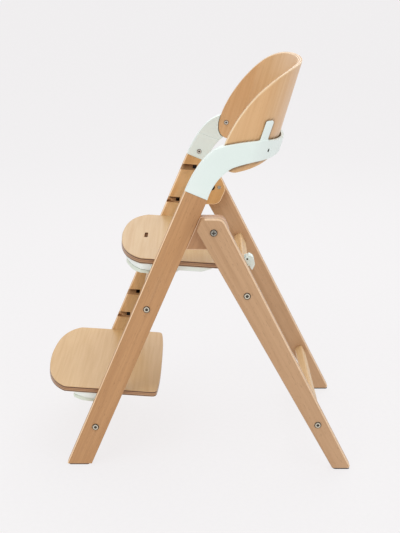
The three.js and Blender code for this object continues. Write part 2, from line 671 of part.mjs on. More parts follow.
// The moulded rail under each side of a board, with a tongue in the leg's groove.
function carrier(set) {
  const front = set.leverFront + 3;
  const top = PLY_LIFT - GAP;
  const side = prismX([
    [front, -3.6, 1.5], [front + 14, -9.5], [front + 36, -12.4], [0, RAIL_DEEP],
    ...set.railRear, [set.railRear.at(-1)[0], top], [front, top],
  ], CARRIER_INNER, BOARD_HALF - 1);
  const underBoard = prismZ(plyShape(set, 1.5), -40, 20, 7);
  const tongue = boxSolid(BOARD_HALF - 8, TONGUE_X, 0.5, GROOVE.length - 0.6,
    RAIL_DEEP, -0.6);
  const tunnel = LOCK_HOLE.side / 2;
  const pinTunnel = boxSolid(150, TONGUE_X + 5, LOCK_HOLE.from, LOCK_HOLE.from + LOCK_HOLE.side,
    -GROOVE.height / 2 - tunnel, -GROOVE.height / 2 + tunnel);
  const lugs = [[CARRIER_INNER, LEVER.inner - GAP], [LEVER.outer + GAP, BOARD_HALF - 1]].map(
    ([x0, x1]) => prismX([[26, -12], [31, -22, 3], [41, -22, 4], [44, -12]], x0, x1));
  const leverHinge = rodX(LEVER.hinge, LEVER.pinRadius + GAP, CARRIER_INNER - 5, BOARD_HALF + 5);
  return cut(join(side.intersect(underBoard), tongue, ...lugs), pinTunnel, leverHinge);
}

const LEVER = { hinge: [36, -17.5], pinRadius: 2, inner: 132, outer: 180.5 };

// The release flap under a rail, hinged near the leg; pulling its front down draws the pin.
function lever(set) {
  const front = set.leverFront;
  const flap = prismX([
    [front, -4.9, 2.5], [front + 15.5, -11.3], [front + 38, -13.9], [0, RAIL_DEEP - 1.4],
    [40, RAIL_DEEP - 1.4, 3], [42, -22, 3], [0, -22], [front + 21, -20.2],
    [front + 3, -13.5, 5],
  ], LEVER.inner, LEVER.outer);
  const trunnion = rodX(LEVER.hinge, LEVER.pinRadius, CARRIER_INNER + 1, BOARD_HALF - 2);
  return join(flap.intersect(prismZ(plyShape(set, 2.5), -40, 20, 7)), trunnion);
}

function lockPin() {
  const middle = LOCK_HOLE.from + LOCK_HOLE.side / 2;
  const half = LOCK_PIN.side / 2;
  const tip = FRONT_IN + GROOVE.depth + LOCK_PIN.reach;
  return boxSolid(tip - LOCK_PIN.length, tip, middle - half, middle + half,
    -GROOVE.height / 2 - half, -GROOVE.height / 2 + half);
}

function addBoardSet(name, set) {
  const frame = grooveFrame(set.groove);
  addPiece(`${name}_board`, toGeometry(plyBoard(set)), PLYWOOD, frame);
  addPair(`${name}_carrier`, carrier(set), WHITE_PLASTIC, frame);
  addPair(`${name}_lever`, lever(set), WHITE_PLASTIC, frame);
  addPair(`${name}_lock_pin`, lockPin(), STEEL, frame);
}

addBoardSet('seat', SEAT);
addBoardSet('footrest', FOOTREST);

export default chair;
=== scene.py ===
"""Looks of the folding wooden high chair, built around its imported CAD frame.

Everything is drawn in the chair's own drawing, in millimetres, with y towards the back and
z up, and PLACE sets it into the CAD frame. Each visible piece replaces its CAD node.
"""
import math

import bmesh
import bpy
from mathutils import Matrix, Vector
from mathutils.kdtree import KDTree


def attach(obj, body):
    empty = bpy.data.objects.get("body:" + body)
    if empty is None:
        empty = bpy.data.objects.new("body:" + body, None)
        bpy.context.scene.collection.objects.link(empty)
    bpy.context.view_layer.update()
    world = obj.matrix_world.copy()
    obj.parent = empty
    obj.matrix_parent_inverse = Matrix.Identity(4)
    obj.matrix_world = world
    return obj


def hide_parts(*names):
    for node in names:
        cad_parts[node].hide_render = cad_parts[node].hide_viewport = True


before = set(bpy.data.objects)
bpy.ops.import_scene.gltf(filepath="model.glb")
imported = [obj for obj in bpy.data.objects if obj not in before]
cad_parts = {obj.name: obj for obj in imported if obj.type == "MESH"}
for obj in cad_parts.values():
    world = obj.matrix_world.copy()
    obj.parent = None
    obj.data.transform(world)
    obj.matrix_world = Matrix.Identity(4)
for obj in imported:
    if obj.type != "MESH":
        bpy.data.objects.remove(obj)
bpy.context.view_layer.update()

# ------------------------------------------------------------------ dimensions, as in the CAD

MM = 0.001
SHIFT_Y = 9.5
GAP = 0.3
AXLE_RADIUS = 2
FRONT_OUT = 208
FRONT_IN = 186
REAR_IN = 208.3
REAR_OUT = 230.3
LEG_FOOT_Y = -294
LEG_SLOPE = 0.4253
LEG_WIDTH = 50
FOOT_LIFT = 3
SEAM_FRONT = (-31, 618)
GROOVE_TOPS = [594] + [514 - 58.8 * k for k in range(7)]
GROOVE_HEIGHT = 14
GROOVE_DEPTH = 7
GROOVE_LENGTH = 27
UPPER_GROOVE_LENGTH = 34
LOCK_HOLE = 9
LOCK_HOLE_FROM = 17.4
BOARD_TILT = math.radians(4)
REAR_LEAN = math.radians(27.93)
PIVOT = (28, 536)
STOP_RADIUS = 18
STOP_PIN = (PIVOT[0] + STOP_RADIUS, PIVOT[1])
PLATE_TOP = 563.5
PLATE_BOTTOM = 494
BARS = {  # middle in the side view, thickness, height
    ("front", "upper"): ((-112.5, 363), 20, 32),
    ("front", "lower"): ((-227.7, 92), 20, 32),
    ("rear", "upper"): ((98, 400), 20, 31),
    ("rear", "lower"): ((254, 107), 20, 25)}
LEAN = 0.29
LEAN_Z = 700
BEND_Y = 98
SHELL_OUT = (198, 73)
SHELL_IN = (188, 63)
HOOP_OUT = (208, 84)
HOOP_IN = (198.3, 76.3)
SHELL_TOP = 866
BACK_BOLT = (62, 693)
ARM_BOLT = (-2, 624)
PLY = 12.5
PLY_LIFT = 0.1
BOARD_HALF = 185
CARRIER_INNER = 128
RAIL_DEEP = -13.4
SEAT = {"name": "seat", "top": GROOVE_TOPS[2], "front": -76, "depth": 236,
        "lever_front": -61, "slot": True,
        "rail_rear": [(52, RAIL_DEEP), (58, -9.4), (104, -9.4, 14), (125, -2)]}
FOOTREST = {"name": "footrest", "top": GROOVE_TOPS[7], "front": -121, "depth": 257,
            "lever_front": -52, "slot": False, "rail_rear": [(48, RAIL_DEEP, 9)]}

leg_angle = math.atan(LEG_SLOPE)
across_leg = Vector((math.cos(leg_angle), -math.sin(leg_angle)))
seam_front = Vector(SEAM_FRONT)
seam_back = seam_front + LEG_WIDTH * across_leg


def leg_front(z):
    return LEG_FOOT_Y + LEG_SLOPE * z


def leg_back(z):
    return leg_front(z) + LEG_WIDTH / math.cos(leg_angle)


# ------------------------------------------------------------------ outlines


def round_corners(corners, steps=8):
    """Outline points from corners (a, b, radius)."""
    points = []
    for i, corner in enumerate(corners):
        here = Vector(corner[:2])
        radius = corner[2] if len(corner) > 2 else 0
        if not radius:
            points.append(here)
            continue
        before = (Vector(corners[i - 1][:2]) - here).normalized()
        after = (Vector(corners[(i + 1) % len(corners)][:2]) - here).normalized()
        half = math.acos(max(-1, min(1, before.dot(after)))) / 2
        centre = here + (before + after).normalized() * (radius / math.sin(half))
        start = here + before * (radius / math.tan(half)) - centre
        end = here + after * (radius / math.tan(half)) - centre
        turn = math.atan2(start.x * end.y - start.y * end.x, start.dot(end))
        for k in range(steps + 1):
            a = turn * k / steps
            points.append(centre + Vector((
                start.x * math.cos(a) - start.y * math.sin(a),
                start.x * math.sin(a) + start.y * math.cos(a))))
    return points


def bezier(p0, p1, p2, p3, steps):
    """Points along the curve after its first one."""
    points = []
    for k in range(1, steps + 1):
        t = k / steps
        s = 1 - t
        points.append(Vector(p0) * s ** 3 + Vector(p1) * 3 * s * s * t
                      + Vector(p2) * 3 * s * t * t + Vector(p3) * t ** 3)
    return points


def turned_rect(centre, width, height, lean, radius):
    corners = []
    for a, b in ((-1, -1), (1, -1), (1, 1), (-1, 1)):
        u, v = a * width / 2, b * height / 2
        corners.append((centre[0] + u * math.cos(lean) + v * math.sin(lean),
                        centre[1] - u * math.sin(lean) + v * math.cos(lean), radius))
    return round_corners(corners, 5)


def arc(centre, radius, first, last, steps):
    """Points from one angle to another."""
    angles = [first + (last - first) * k / steps for k in range(steps + 1)]
    return [Vector((centre[0] + radius * math.cos(a), centre[1] + radius * math.sin(a)))
            for a in angles]


def circle(centre, radius, steps=40):
    return arc(centre, radius, 0, 2 * math.pi, steps)[:-1]


# ------------------------------------------------------------------ mesh building

SIDE = Matrix(((0, 0, 1, 0), (1, 0, 0, 0), (0, 1, 0, 0), (0, 0, 0, 1)))
MIRROR = Matrix.Diagonal((-1, 1, 1, 1))
PLACE = Matrix.Diagonal((MM, MM, MM, 1)) @ Matrix.Translation((0, SHIFT_Y, 0))


def groove_matrix(top):
    """From a groove's own frame to the drawing: y along it from its mouth, z up from its top."""
    return (Matrix.Translation((0, leg_front(top), top))
            @ Matrix.Rotation(-BOARD_TILT, 4, "X"))


def prism(outline, low, high, matrix=SIDE):
    """A closed bmesh: the outline, extruded from low to high along the matrix's third axis."""
    bm = bmesh.new()
    bottom = [bm.verts.new(matrix @ Vector((p[0], p[1], low))) for p in outline]
    top = [bm.verts.new(matrix @ Vector((p[0], p[1], high))) for p in outline]
    bm.faces.new(list(reversed(bottom)))
    bm.faces.new(top)
    count = len(outline)
    for i in range(count):
        j = (i + 1) % count
        bm.faces.new((bottom[i], bottom[j], top[j], top[i]))
    bmesh.ops.recalc_face_normals(bm, faces=bm.faces)
    return bm


def block(x0, x1, y0, y1, z0, z1, matrix=Matrix()):
    return prism([(x0, y0), (x1, y0), (x1, y1), (x0, y1)], z0, z1, matrix)


def rod(centre, radius, x0, x1, steps=40):
    return prism(circle(centre, radius, steps), x0, x1)


def merged(*parts):
    """One bmesh holding several closed ones."""
    total = parts[0]
    for part in parts[1:]:
        mesh = bpy.data.meshes.new("part")
        part.to_mesh(mesh)
        part.free()
        total.from_mesh(mesh)
        bpy.data.meshes.remove(mesh)
    return total


def new_object(name, data):
    obj = bpy.data.objects.new(name, data)
    bpy.context.collection.objects.link(obj)
    return obj


def world_axes(local):
    """Axes in the drawing as an object's world matrix."""
    return Matrix.Translation(PLACE @ local.translation) @ local.to_3x3().to_4x4()


def as_object(name, bm, local=Matrix()):
    """An object whose mesh is the drawing's bmesh, with local as its own axes (drawing units)."""
    bm.transform(local.inverted())
    bm.transform(Matrix.Diagonal((MM, MM, MM, 1)))
    mesh = bpy.data.meshes.new(name)
    bm.to_mesh(mesh)
    bm.free()
    obj = new_object(name, mesh)
    obj.matrix_world = world_axes(local)
    return obj


def bake(obj):
    """Applies the object's modifiers to its mesh."""
    bpy.context.view_layer.update()
    depsgraph = bpy.context.evaluated_depsgraph_get()
    mesh = bpy.data.meshes.new_from_object(obj.evaluated_get(depsgraph))
    old = obj.data
    obj.modifiers.clear()
    obj.data = mesh
    bpy.data.meshes.remove(old)
    return obj


def reserve_slots(mesh, count):
    """Adds empty material slots up to count, so that a face's slot number isn't clamped."""
    while len(mesh.materials) < count:
        mesh.materials.append(None)


def boolean(obj, cutter_bm, operation="DIFFERENCE", slot=0):
    """Cuts, joins or trims an object; the cut's new faces take the material slot."""
    cutter = as_object("cutter", cutter_bm)
    if slot:
        reserve_slots(obj.data, slot + 1)
        reserve_slots(cutter.data, slot + 1)
        for polygon in cutter.data.polygons:
            polygon.material_index = slot
    modifier = obj.modifiers.new("cut", "BOOLEAN")
    modifier.object = cutter
    modifier.operation = operation
    modifier.solver = "EXACT"
    modifier.use_self = operation == "DIFFERENCE"
    bake(obj)
    bpy.data.objects.remove(cutter)
    return obj


def bevel(obj, width, angle=32, segments=3, slot=-1):
    """Rounds the edges sharper than the angle; the rounding takes the material slot."""
    reserve_slots(obj.data, slot + 1)
    modifier = obj.modifiers.new("round", "BEVEL")
    modifier.width = width * MM
    modifier.segments = segments
    modifier.limit_method = "ANGLE"
    modifier.angle_limit = math.radians(angle)
    modifier.use_clamp_overlap = True
    modifier.material = slot
    return bake(obj)


def keep_highlight(obj, keep):
    """Gives the painted edge highlight in slot 1 back to the first slot, except where keep(y, z)
    holds.
    """
    for polygon in obj.data.polygons:
        place = PLACE.inverted() @ obj.matrix_world @ polygon.center
        if polygon.material_index == 1 and not keep(place.y, place.z):
            polygon.material_index = 0


def smooth(obj, sharp_angle=None):
    """Smooth shading that keeps flat faces flat."""
    mesh = obj.data
    for polygon in mesh.polygons:
        polygon.use_smooth = True
    if sharp_angle:
        bm = bmesh.new()
        bm.from_mesh(mesh)
        for edge in bm.edges:
            if len(edge.link_faces) == 2 and edge.calc_face_angle(0) > math.radians(sharp_angle):
                edge.smooth = False
        bm.to_mesh(mesh)
        bm.free()
    modifier = obj.modifiers.new("normals", "WEIGHTED_NORMAL")
    modifier.weight = 90
    modifier.keep_sharp = True
    return bake(obj)


def finish(obj, body, slot, materials, *nodes):
    """Puts materials on a piece, rides it on its body and lets it stand for its CAD nodes."""
    if not isinstance(materials, (list, tuple)):
        materials = [materials]
    reserve_slots(obj.data, len(materials))
    for index, material in enumerate(materials):
        obj.data.materials[index] = material
    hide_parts(*nodes)
    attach(obj, body)
    return obj


def mirror_copy(obj, name):
    """A mirror image of a finished mesh in the middle plane, before it rides anywhere."""
    mesh = obj.data.copy()
    bm = bmesh.new()
    bm.from_mesh(mesh)
    world = obj.matrix_world.copy()
    bm.transform(world)
    bm.transform(MIRROR)
    bmesh.ops.reverse_faces(bm, faces=bm.faces)
    # the copy's origin is moved up, so that its grain differs from the first piece's
    location = MIRROR @ world.translation + Vector((0, 0, 0.37))
    turned = MIRROR.to_3x3() @ world.to_3x3() @ MIRROR.to_3x3()
    target = Matrix.Translation(location) @ turned.to_4x4()
    bm.transform(target.inverted())
    bm.to_mesh(mesh)
    bm.free()
    copy = new_object(name, mesh)
    copy.matrix_world = target
    return copy


def finish_pair(obj, body, slot, materials, *nodes, bodies=None, right_materials=None):
    """Finishes a left piece and its mirror image. Node and body names end in _left or _right."""
    right = smooth(mirror_copy(obj, obj.name.replace("_left", "_right")))
    for piece, side in ((obj, "left"), (right, "right")):
        body_name = f"{bodies}_{side}" if bodies else body
        looks = right_materials if right_materials and side == "right" else materials
        finish(piece, body_name, slot, looks, *[f"{node}_{side}" for node in nodes])


# ------------------------------------------------------------------ materials


class Nodes:
    """A small helper that adds and links shader nodes."""

    def __init__(self, name):
        self.material = bpy.data.materials.new(name)
        self.material.use_nodes = True
        self.tree = self.material.node_tree
        self.shader = self.tree.nodes["Principled BSDF"]

    def add(self, kind, inputs=None, **settings):
        node = self.tree.nodes.new(kind)
        for key, value in settings.items():
            setattr(node, key, value)
        for key, value in (inputs or {}).items():
            if isinstance(value, bpy.types.NodeSocket):
                self.tree.links.new(value, node.inputs[key])
            else:
                node.inputs[key].default_value = value
        return node

    def link(self, output, key):
        self.tree.links.new(output, self.shader.inputs[key])

    def coordinates(self, scale, offset=(0, 0, 0), turn=0):
        """The object's own coordinates, turned about X first and then scaled."""
        vector = self.add("ShaderNodeTexCoord").outputs["Object"]
        if turn:
            vector = self.add("ShaderNodeMapping", {
                "Vector": vector, "Rotation": (turn, 0, 0)}).outputs["Vector"]
        return self.add("ShaderNodeMapping", {
            "Vector": vector, "Scale": scale, "Location": offset}).outputs["Vector"]

    def noise(self, vector, scale=1, detail=3, roughness=0.5, distortion=0):
        return self.add("ShaderNodeTexNoise", {
            "Vector": vector, "Scale": scale, "Detail": detail,
            "Roughness": roughness, "Distortion": distortion,
        }).outputs["Fac"]

    def ramp(self, value, stops, interpolation="LINEAR"):
        node = self.add("ShaderNodeValToRGB", {"Fac": value})
        ramp = node.color_ramp
        ramp.interpolation = interpolation
        while len(ramp.elements) < len(stops):
            ramp.elements.new(0.5)
        for element, (position, colour) in zip(ramp.elements, stops):
            element.position = position
            element.color = colour if len(colour) == 4 else (*colour, 1)
        return node.outputs["Color"]

    def mix(self, factor, a, b):
        node = self.add("ShaderNodeMix", {0: factor, 6: a, 7: b}, data_type="RGBA")
        return node.outputs[2]

    def math(self, operation, a, b=0.0):
        return self.add("ShaderNodeMath", {0: a, 1: b}, operation=operation).outputs[0]

    def specks(self, value, level, strength):
        """strength where the value is over the level, and 0 elsewhere."""
        return self.math("MULTIPLY", self.math("GREATER_THAN", value, level), strength)

    def height_along(self, axis):
        """The object's own coordinate along one axis, in metres."""
        start = self.add("ShaderNodeTexCoord").outputs["Object"]
        return self.add("ShaderNodeSeparateXYZ", {"Vector": start}).outputs[axis]

    def fixed(self, **values):
        """Shader values that are the same all over, by socket name with _ for each space."""
        for name, value in values.items():
            self.shader.inputs[name.replace("_", " ")].default_value = value

    def roughness(self, value, *stops):
        """Roughness that follows a value through stops (value, roughness)."""
        self.link(self.ramp(value, [(at, (level,) * 3) for at, level in stops]), "Roughness")

    def bump(self, height, strength, distance):
        node = self.add("ShaderNodeBump", {
            "Height": height, "Strength": strength, "Distance": distance})
        self.link(node.outputs["Normal"], "Normal")


def rgb(red, green, blue):
    """Screen colour 0 to 255 as linear light."""

    def linear(value):
        value /= 255
        return value / 12.92 if value <= 0.04045 else ((value + 0.055) / 1.055) ** 2.4
    return (linear(red), linear(green), linear(blue), 1)


def between(a, b, t):
    return tuple(x + (y - x) * t for x, y in zip(a, b))


BLACK = (0, 0, 0, 1)
RING_STRENGTH = 0.16


def grain_noise(nodes, along, offset, turn, roughness):
    """A function for noise drawn out along the grain; its scales are per metre."""
    axis = "XYZ".index(along)

    def grain(across, lengthwise, detail=3, roughness=roughness, distortion=0.0):
        scale = tuple(lengthwise if i == axis else across for i in range(3))
        return nodes.noise(nodes.coordinates(scale, offset, turn), 1, detail, roughness,
                           distortion)

    return grain


def beech(name, light, dark, along="Z", turn=0.0, seed=0.0, figure=RING_STRENGTH):
    """Lacquered beech: soft bands, narrow growth lines, fine fibre and short dark ray flecks."""
    nodes = Nodes(name)
    light, dark = rgb(*light), rgb(*dark)
    grain = grain_noise(nodes, along, (seed * 0.37, seed * 0.61, seed * 0.83), turn, 0.5)
    broad = grain(30, 1.4, 2, distortion=0.5)
    lines = grain(190, 6, 3, 0.6, 0.4)
    fibre = grain(900, 26, 3, 0.6)
    fleck = grain(520, 90, 1, 0.4)
    level = grain(13, 0.8, 1)
    tone = nodes.ramp(broad, [(0.34, between(dark, light, 0.25)), (0.66, between(dark, light, 0.85))])
    narrow = nodes.ramp(lines, [(0.36, dark), (0.5, between(dark, light, 0.5)), (0.62, light)])
    colour = nodes.mix(0.45, tone, narrow)
    colour = nodes.mix(nodes.math("MULTIPLY", fibre, 0.3), colour, between(dark, light, 0.1))
    colour = nodes.mix(nodes.specks(fleck, 0.69, 0.38), colour, between(dark, BLACK, 0.4))
    # growth rings cut at a slant: thin lines along the level curves of a long soft noise
    wave = nodes.math("ABSOLUTE", nodes.math("SINE", nodes.math("MULTIPLY", level, 34)))
    rings = nodes.math("MULTIPLY", nodes.math("POWER", wave, 5), figure)
    nodes.link(nodes.mix(rings, colour, between(dark, BLACK, 0.16)), "Base Color")
    nodes.roughness(lines, (0.2, 0.5), (0.8, 0.36))
    nodes.bump(nodes.math("ADD", fibre, nodes.math("MULTIPLY", lines, 0.6)), 0.16, 0.0004)
    nodes.fixed(Specular_IOR_Level=0.35, Coat_Weight=0.12, Coat_Roughness=0.25)
    return nodes.material


def beech_pair(name, face, edge, figure=RING_STRENGTH, **grain):
    """The beech of a board's faces and of its rounded edges, painted paler as a highlight, each as
    (light, dark).
    """
    return beech(name, *face, figure=figure, **grain), beech(f"{name}_edge", *edge, **grain)


FACE_VENEER = 0.045


def plywood(name, light, dark, plies, depth_of, seed, along="X", turn=0.0):
    """Lacquered plywood. depth_of(nodes) runs 0 to 1 through it, and plies lists
    (depth, colour) for the layers that show at its edges."""
    nodes = Nodes(name)
    light, dark = rgb(*light), rgb(*dark)
    offset = (seed, seed * 0.5, seed * 0.7)
    grain = grain_noise(nodes, along, offset, turn, 0.55)
    soft = grain(20, 2.4, distortion=0.8)
    lines = grain(150, 5, distortion=0.5)
    fine = grain(600, 16)
    fleck = grain(700, 120, 1)
    face = nodes.mix(0.5, nodes.ramp(soft, [(0.3, dark), (0.7, light)]),
                     nodes.ramp(lines, [(0.34, dark), (0.6, light)]))
    face = nodes.mix(nodes.math("MULTIPLY", fine, 0.25), face, dark)
    face = nodes.mix(nodes.specks(fleck, 0.69, 0.25), face, between(dark, BLACK, 0.3))
    depth = depth_of(nodes)
    core = nodes.ramp(depth, [(at, rgb(*colour)) for at, colour in plies], "CONSTANT")
    grit = nodes.noise(nodes.coordinates((500, 500, 700), offset), 1, 3, 0.6)
    core = nodes.mix(nodes.math("MULTIPLY", grit, 0.22), core, between(dark, BLACK, 0.45))
    inner = nodes.math("MULTIPLY", nodes.math("GREATER_THAN", depth, FACE_VENEER),
                       nodes.math("LESS_THAN", depth, 1 - FACE_VENEER))
    whole = nodes.mix(inner, face, core)
    # a cream band at the shell's top edge: partly its pale face veneer on the rounding, partly a
    # painted highlight
    for layer, tint, strength in (("rim_highlight", (252, 230, 192), 0.85), ("seam", (92, 62, 36), 0.8)):
        # the seam attribute is painted shade under the hoop and round the tab, not a dark joint
        value = nodes.add("ShaderNodeAttribute", attribute_name=layer).outputs["Fac"]
        whole = nodes.mix(nodes.math("MULTIPLY", value, strength), whole, rgb(*tint))
    nodes.link(whole, "Base Color")
    nodes.roughness(lines, (0.2, 0.48), (0.8, 0.36))
    nodes.bump(nodes.math("ADD", fine, nodes.math("MULTIPLY", grit, 0.3)), 0.1, 0.0003)
    nodes.fixed(Specular_IOR_Level=0.4, Coat_Weight=0.15, Coat_Roughness=0.2)
    return nodes.material


def plastic(name, colour, shade, roughness):
    """Moulded plastic: almost even, with faint flow marks and a very fine spark texture."""
    nodes = Nodes(name)
    colour, shade = rgb(*colour), rgb(*shade)
    flow = nodes.noise(nodes.coordinates((9, 9, 9)), 1, 2, 0.5)
    spark = nodes.noise(nodes.coordinates((2600, 2600, 2600)), 1, 2, 0.6)
    scuff = nodes.noise(nodes.coordinates((60, 240, 60)), 1, 4, 0.7)
    tone = nodes.ramp(flow, [(0.35, shade), (0.65, colour)])
    marks = nodes.specks(scuff, 0.72, 0.05)
    nodes.link(nodes.mix(marks, tone, between(shade, BLACK, 0.25)), "Base Color")
    nodes.roughness(scuff, (0.3, roughness), (0.8, roughness + 0.12))
    nodes.bump(spark, 0.06, 0.0001)
    nodes.fixed(Specular_IOR_Level=0.45)
    return nodes.material


RING_REACH = 0.05


def metal(name, rings, roughness, face=None):
    """Plated steel turned about X. Its tone changes with the radius, at steps in millimetres, to paint
    shade and highlight on the head, and a recess below the height of its face gets painted shade."""
    nodes = Nodes(name)
    flat = nodes.coordinates((0, 1, 1))
    radius = nodes.add("ShaderNodeVectorMath", {"Vector": flat}, operation="LENGTH")
    reach = nodes.math("DIVIDE", radius.outputs["Value"], RING_REACH)
    tone = nodes.ramp(reach, [(r * MM / RING_REACH, rgb(*colour)) for r, colour in rings],
                      "CONSTANT")
    if face:
        # painted shade in the recess below the head's face
        sunk_shade = nodes.math("LESS_THAN", nodes.height_along("X"), (face - 0.5) * MM)
        tone = nodes.mix(nodes.math("MULTIPLY", sunk_shade, 0.85), tone, rgb(40, 34, 28))
    turned = nodes.noise(nodes.coordinates((300, 2200, 2200)), 1, 2, 0.5)
    wear = nodes.noise(nodes.coordinates((420, 420, 420)), 1, 4, 0.65)
    nodes.link(nodes.mix(nodes.specks(wear, 0.56, 0.3), tone, rgb(205, 200, 190)), "Base Color")
    nodes.roughness(turned, (0.3, roughness), (0.7, roughness + 0.15))
    nodes.bump(turned, 0.15, 0.0001)
    nodes.fixed(Metallic=0.7)
    return nodes.material


RIGHT_GRAIN = {"turn": leg_angle, "seed": 2.4}
# the _edge materials are the same beech painted paler: a painted highlight on the rounded edges
front_wood, front_highlight = beech_pair(
    "beech_front_leg", ((201, 154, 107), (176, 128, 84)), ((252, 222, 184), (236, 200, 160)),
    turn=leg_angle, seed=1.3)
plate_wood, plate_highlight = beech_pair(
    "beech_plate", ((190, 144, 104), (163, 118, 81)), ((236, 200, 168), (212, 172, 138)),
    turn=leg_angle, seed=5.1)
rear_wood, rear_highlight = beech_pair(
    "beech_rear_leg", ((202, 163, 125), (179, 139, 101)), ((238, 208, 174), (216, 180, 144)),
    figure=0.1, turn=-REAR_LEAN, seed=3.7)
bar_wood, bar_highlight = beech_pair(
    "beech_bar", ((226, 194, 146), (200, 162, 116)), ((242, 216, 176), (220, 186, 144)),
    along="X", seed=8.2)
# painted light: a paler copy of the front leg's beech for the right leg and plate, standing in for
# more light on that side
right_lit_wood = beech("beech_front_leg_right", (219, 173, 115), (193, 145, 91), **RIGHT_GRAIN)
# painted shade: the grooves' cut faces darker than the leg, partly their end grain, and the lock holes
# near black
groove_shaded_wood = beech("beech_groove_shaded", (204, 160, 112), (172, 126, 84), **RIGHT_GRAIN)
lock_hole_shade = beech("beech_lock_hole_shade", (66, 42, 24), (48, 30, 18), **RIGHT_GRAIN)


def board_depth(nodes):
    height = nodes.math("SUBTRACT", nodes.height_along("Z"), PLY_LIFT * MM)
    return nodes.math("DIVIDE", height, PLY * MM)


def shell_depth(nodes):
    return nodes.add("ShaderNodeAttribute", attribute_name="ply_depth").outputs["Fac"]


BOARD_PLIES = [
    (0.0, (206, 172, 136)), (0.07, (104, 68, 44)), (0.24, (186, 144, 108)),
    (0.42, (150, 104, 72)), (0.56, (186, 142, 104)), (0.7, (92, 56, 34)), (0.9, (204, 166, 128))]
PALE_PLY, DARK_PLY = (252, 230, 196), (190, 146, 100)
SHELL_PLIES = [(0.0, PALE_PLY), (0.14, DARK_PLY), (0.42, PALE_PLY), (0.58, DARK_PLY),
               (0.86, PALE_PLY)]
seat_ply = plywood("plywood_seat", (204, 175, 130), (192, 157, 111), BOARD_PLIES, board_depth, 2.0)
foot_ply = plywood("plywood_footrest", (212, 178, 129), (197, 159, 109), BOARD_PLIES,
                   board_depth, 6.0)
shell_ply = plywood("plywood_backrest", (222, 182, 135), (208, 163, 114), SHELL_PLIES,
                    shell_depth, 4.0, along="Z", turn=math.atan(LEAN))
white = plastic("white_plastic", (230, 240, 236), (224, 236, 231), 0.32)
# painted light: a brighter copy of the white plastic for the carriers, against the shade under the
# boards
rail_white_lit = plastic("white_plastic_rail_lit", (240, 245, 240), (230, 238, 230), 0.4)
rail_bottom = plastic("white_plastic_lever", (226, 234, 220), (212, 223, 206), 0.4)
rubber = plastic("glide_rubber", (62, 56, 50), (48, 42, 38), 0.7)
# the ring tones paint shade in the sockets and round the heads' outer edges, and on the bronze and
# small bolts a highlight ring on the dome between
bolt_metal = metal("bronze_bolt", [(0, (52, 42, 32)), (3.1, (208, 200, 182)), (5.6, (82, 66, 50))],
                   0.38, face=2)
pivot_metal = metal("pivot_bolt_zinc", [(0, (158, 154, 144)), (5.7, (66, 56, 46))], 0.32, face=2.6)
small_metal = metal("small_bolt_zinc", [(0, (84, 76, 66)), (1.6, (230, 228, 222)),
                                        (4.2, (84, 70, 56))], 0.3, face=2)
dark_metal = metal("dark_screw", [(0, (52, 48, 42)), (3.6, (40, 36, 32))], 0.5)
bright_metal = metal("zinc", [(0, (176, 178, 174)), (45, (176, 178, 174))], 0.28)

# ------------------------------------------------------------------ front frame

LEG_AXES = Matrix.Translation((197, -160, 300))
REAR_AXES = Matrix.Translation((219, 160, 300))


def leg_outline():
    return round_corners([
        (leg_front(FOOT_LIFT), FOOT_LIFT, 2), (leg_back(FOOT_LIFT), FOOT_LIFT, 2),
        tuple(seam_back), tuple(seam_front)])


def groove_cutters():
    """The grooves, and the holes in their floors that the lock pins snap into."""
    grooves, holes = [], []
    for top in GROOVE_TOPS:
        length = UPPER_GROOVE_LENGTH if top == GROOVE_TOPS[0] else GROOVE_LENGTH
        matrix = groove_matrix(top)
        floor = FRONT_IN + GROOVE_DEPTH
        hole_end = length - GROOVE_LENGTH + LOCK_HOLE_FROM + LOCK_HOLE
        middle = -GROOVE_HEIGHT / 2
        grooves.append(block(FRONT_IN - 5, floor, -20, length, -GROOVE_HEIGHT, 0, matrix))
        holes.append(block(floor - 1, floor + 8, hole_end - LOCK_HOLE, hole_end,
                           middle - LOCK_HOLE / 2, middle + LOCK_HOLE / 2, matrix))
    return merged(*grooves), merged(*holes)


BAR_BORE = 3.8
PIVOT_BORE = 5.2
NUT_RADIUS = 7.6
PIN_RADIUS = 4


def bar_bores(end, x0, x1):
    return [rod(BARS[end, level][0], BAR_BORE, x0, x1, 32) for level in ("upper", "lower")]


leg = as_object("front_leg_left", prism(leg_outline(), FRONT_IN, FRONT_OUT), LEG_AXES)
bevel(leg, 2.8, segments=4, slot=1)
# painted highlight: the paler rounding stays only along the leg's front edge, where the light falls
keep_highlight(leg, lambda y, z: y < leg_front(z) + 20)
# the grooves' and lock holes' cut faces take slots 2 and 3, their painted shade
for tool, tool_slot in zip(groove_cutters(), (2, 3)):
    boolean(leg, tool, slot=tool_slot)
boolean(leg, merged(*bar_bores("front", FRONT_IN - 1, FRONT_OUT + 1)))
bevel(leg, 0.5, angle=55, segments=2)
smooth(leg)
# the right leg takes the paler, painted-light copy of the beech
finish_pair(leg, "front_frame", "front_beech", [front_wood, front_highlight, groove_shaded_wood, lock_hole_shade],
            "front_leg", right_materials=[right_lit_wood, front_highlight, groove_shaded_wood, lock_hole_shade])

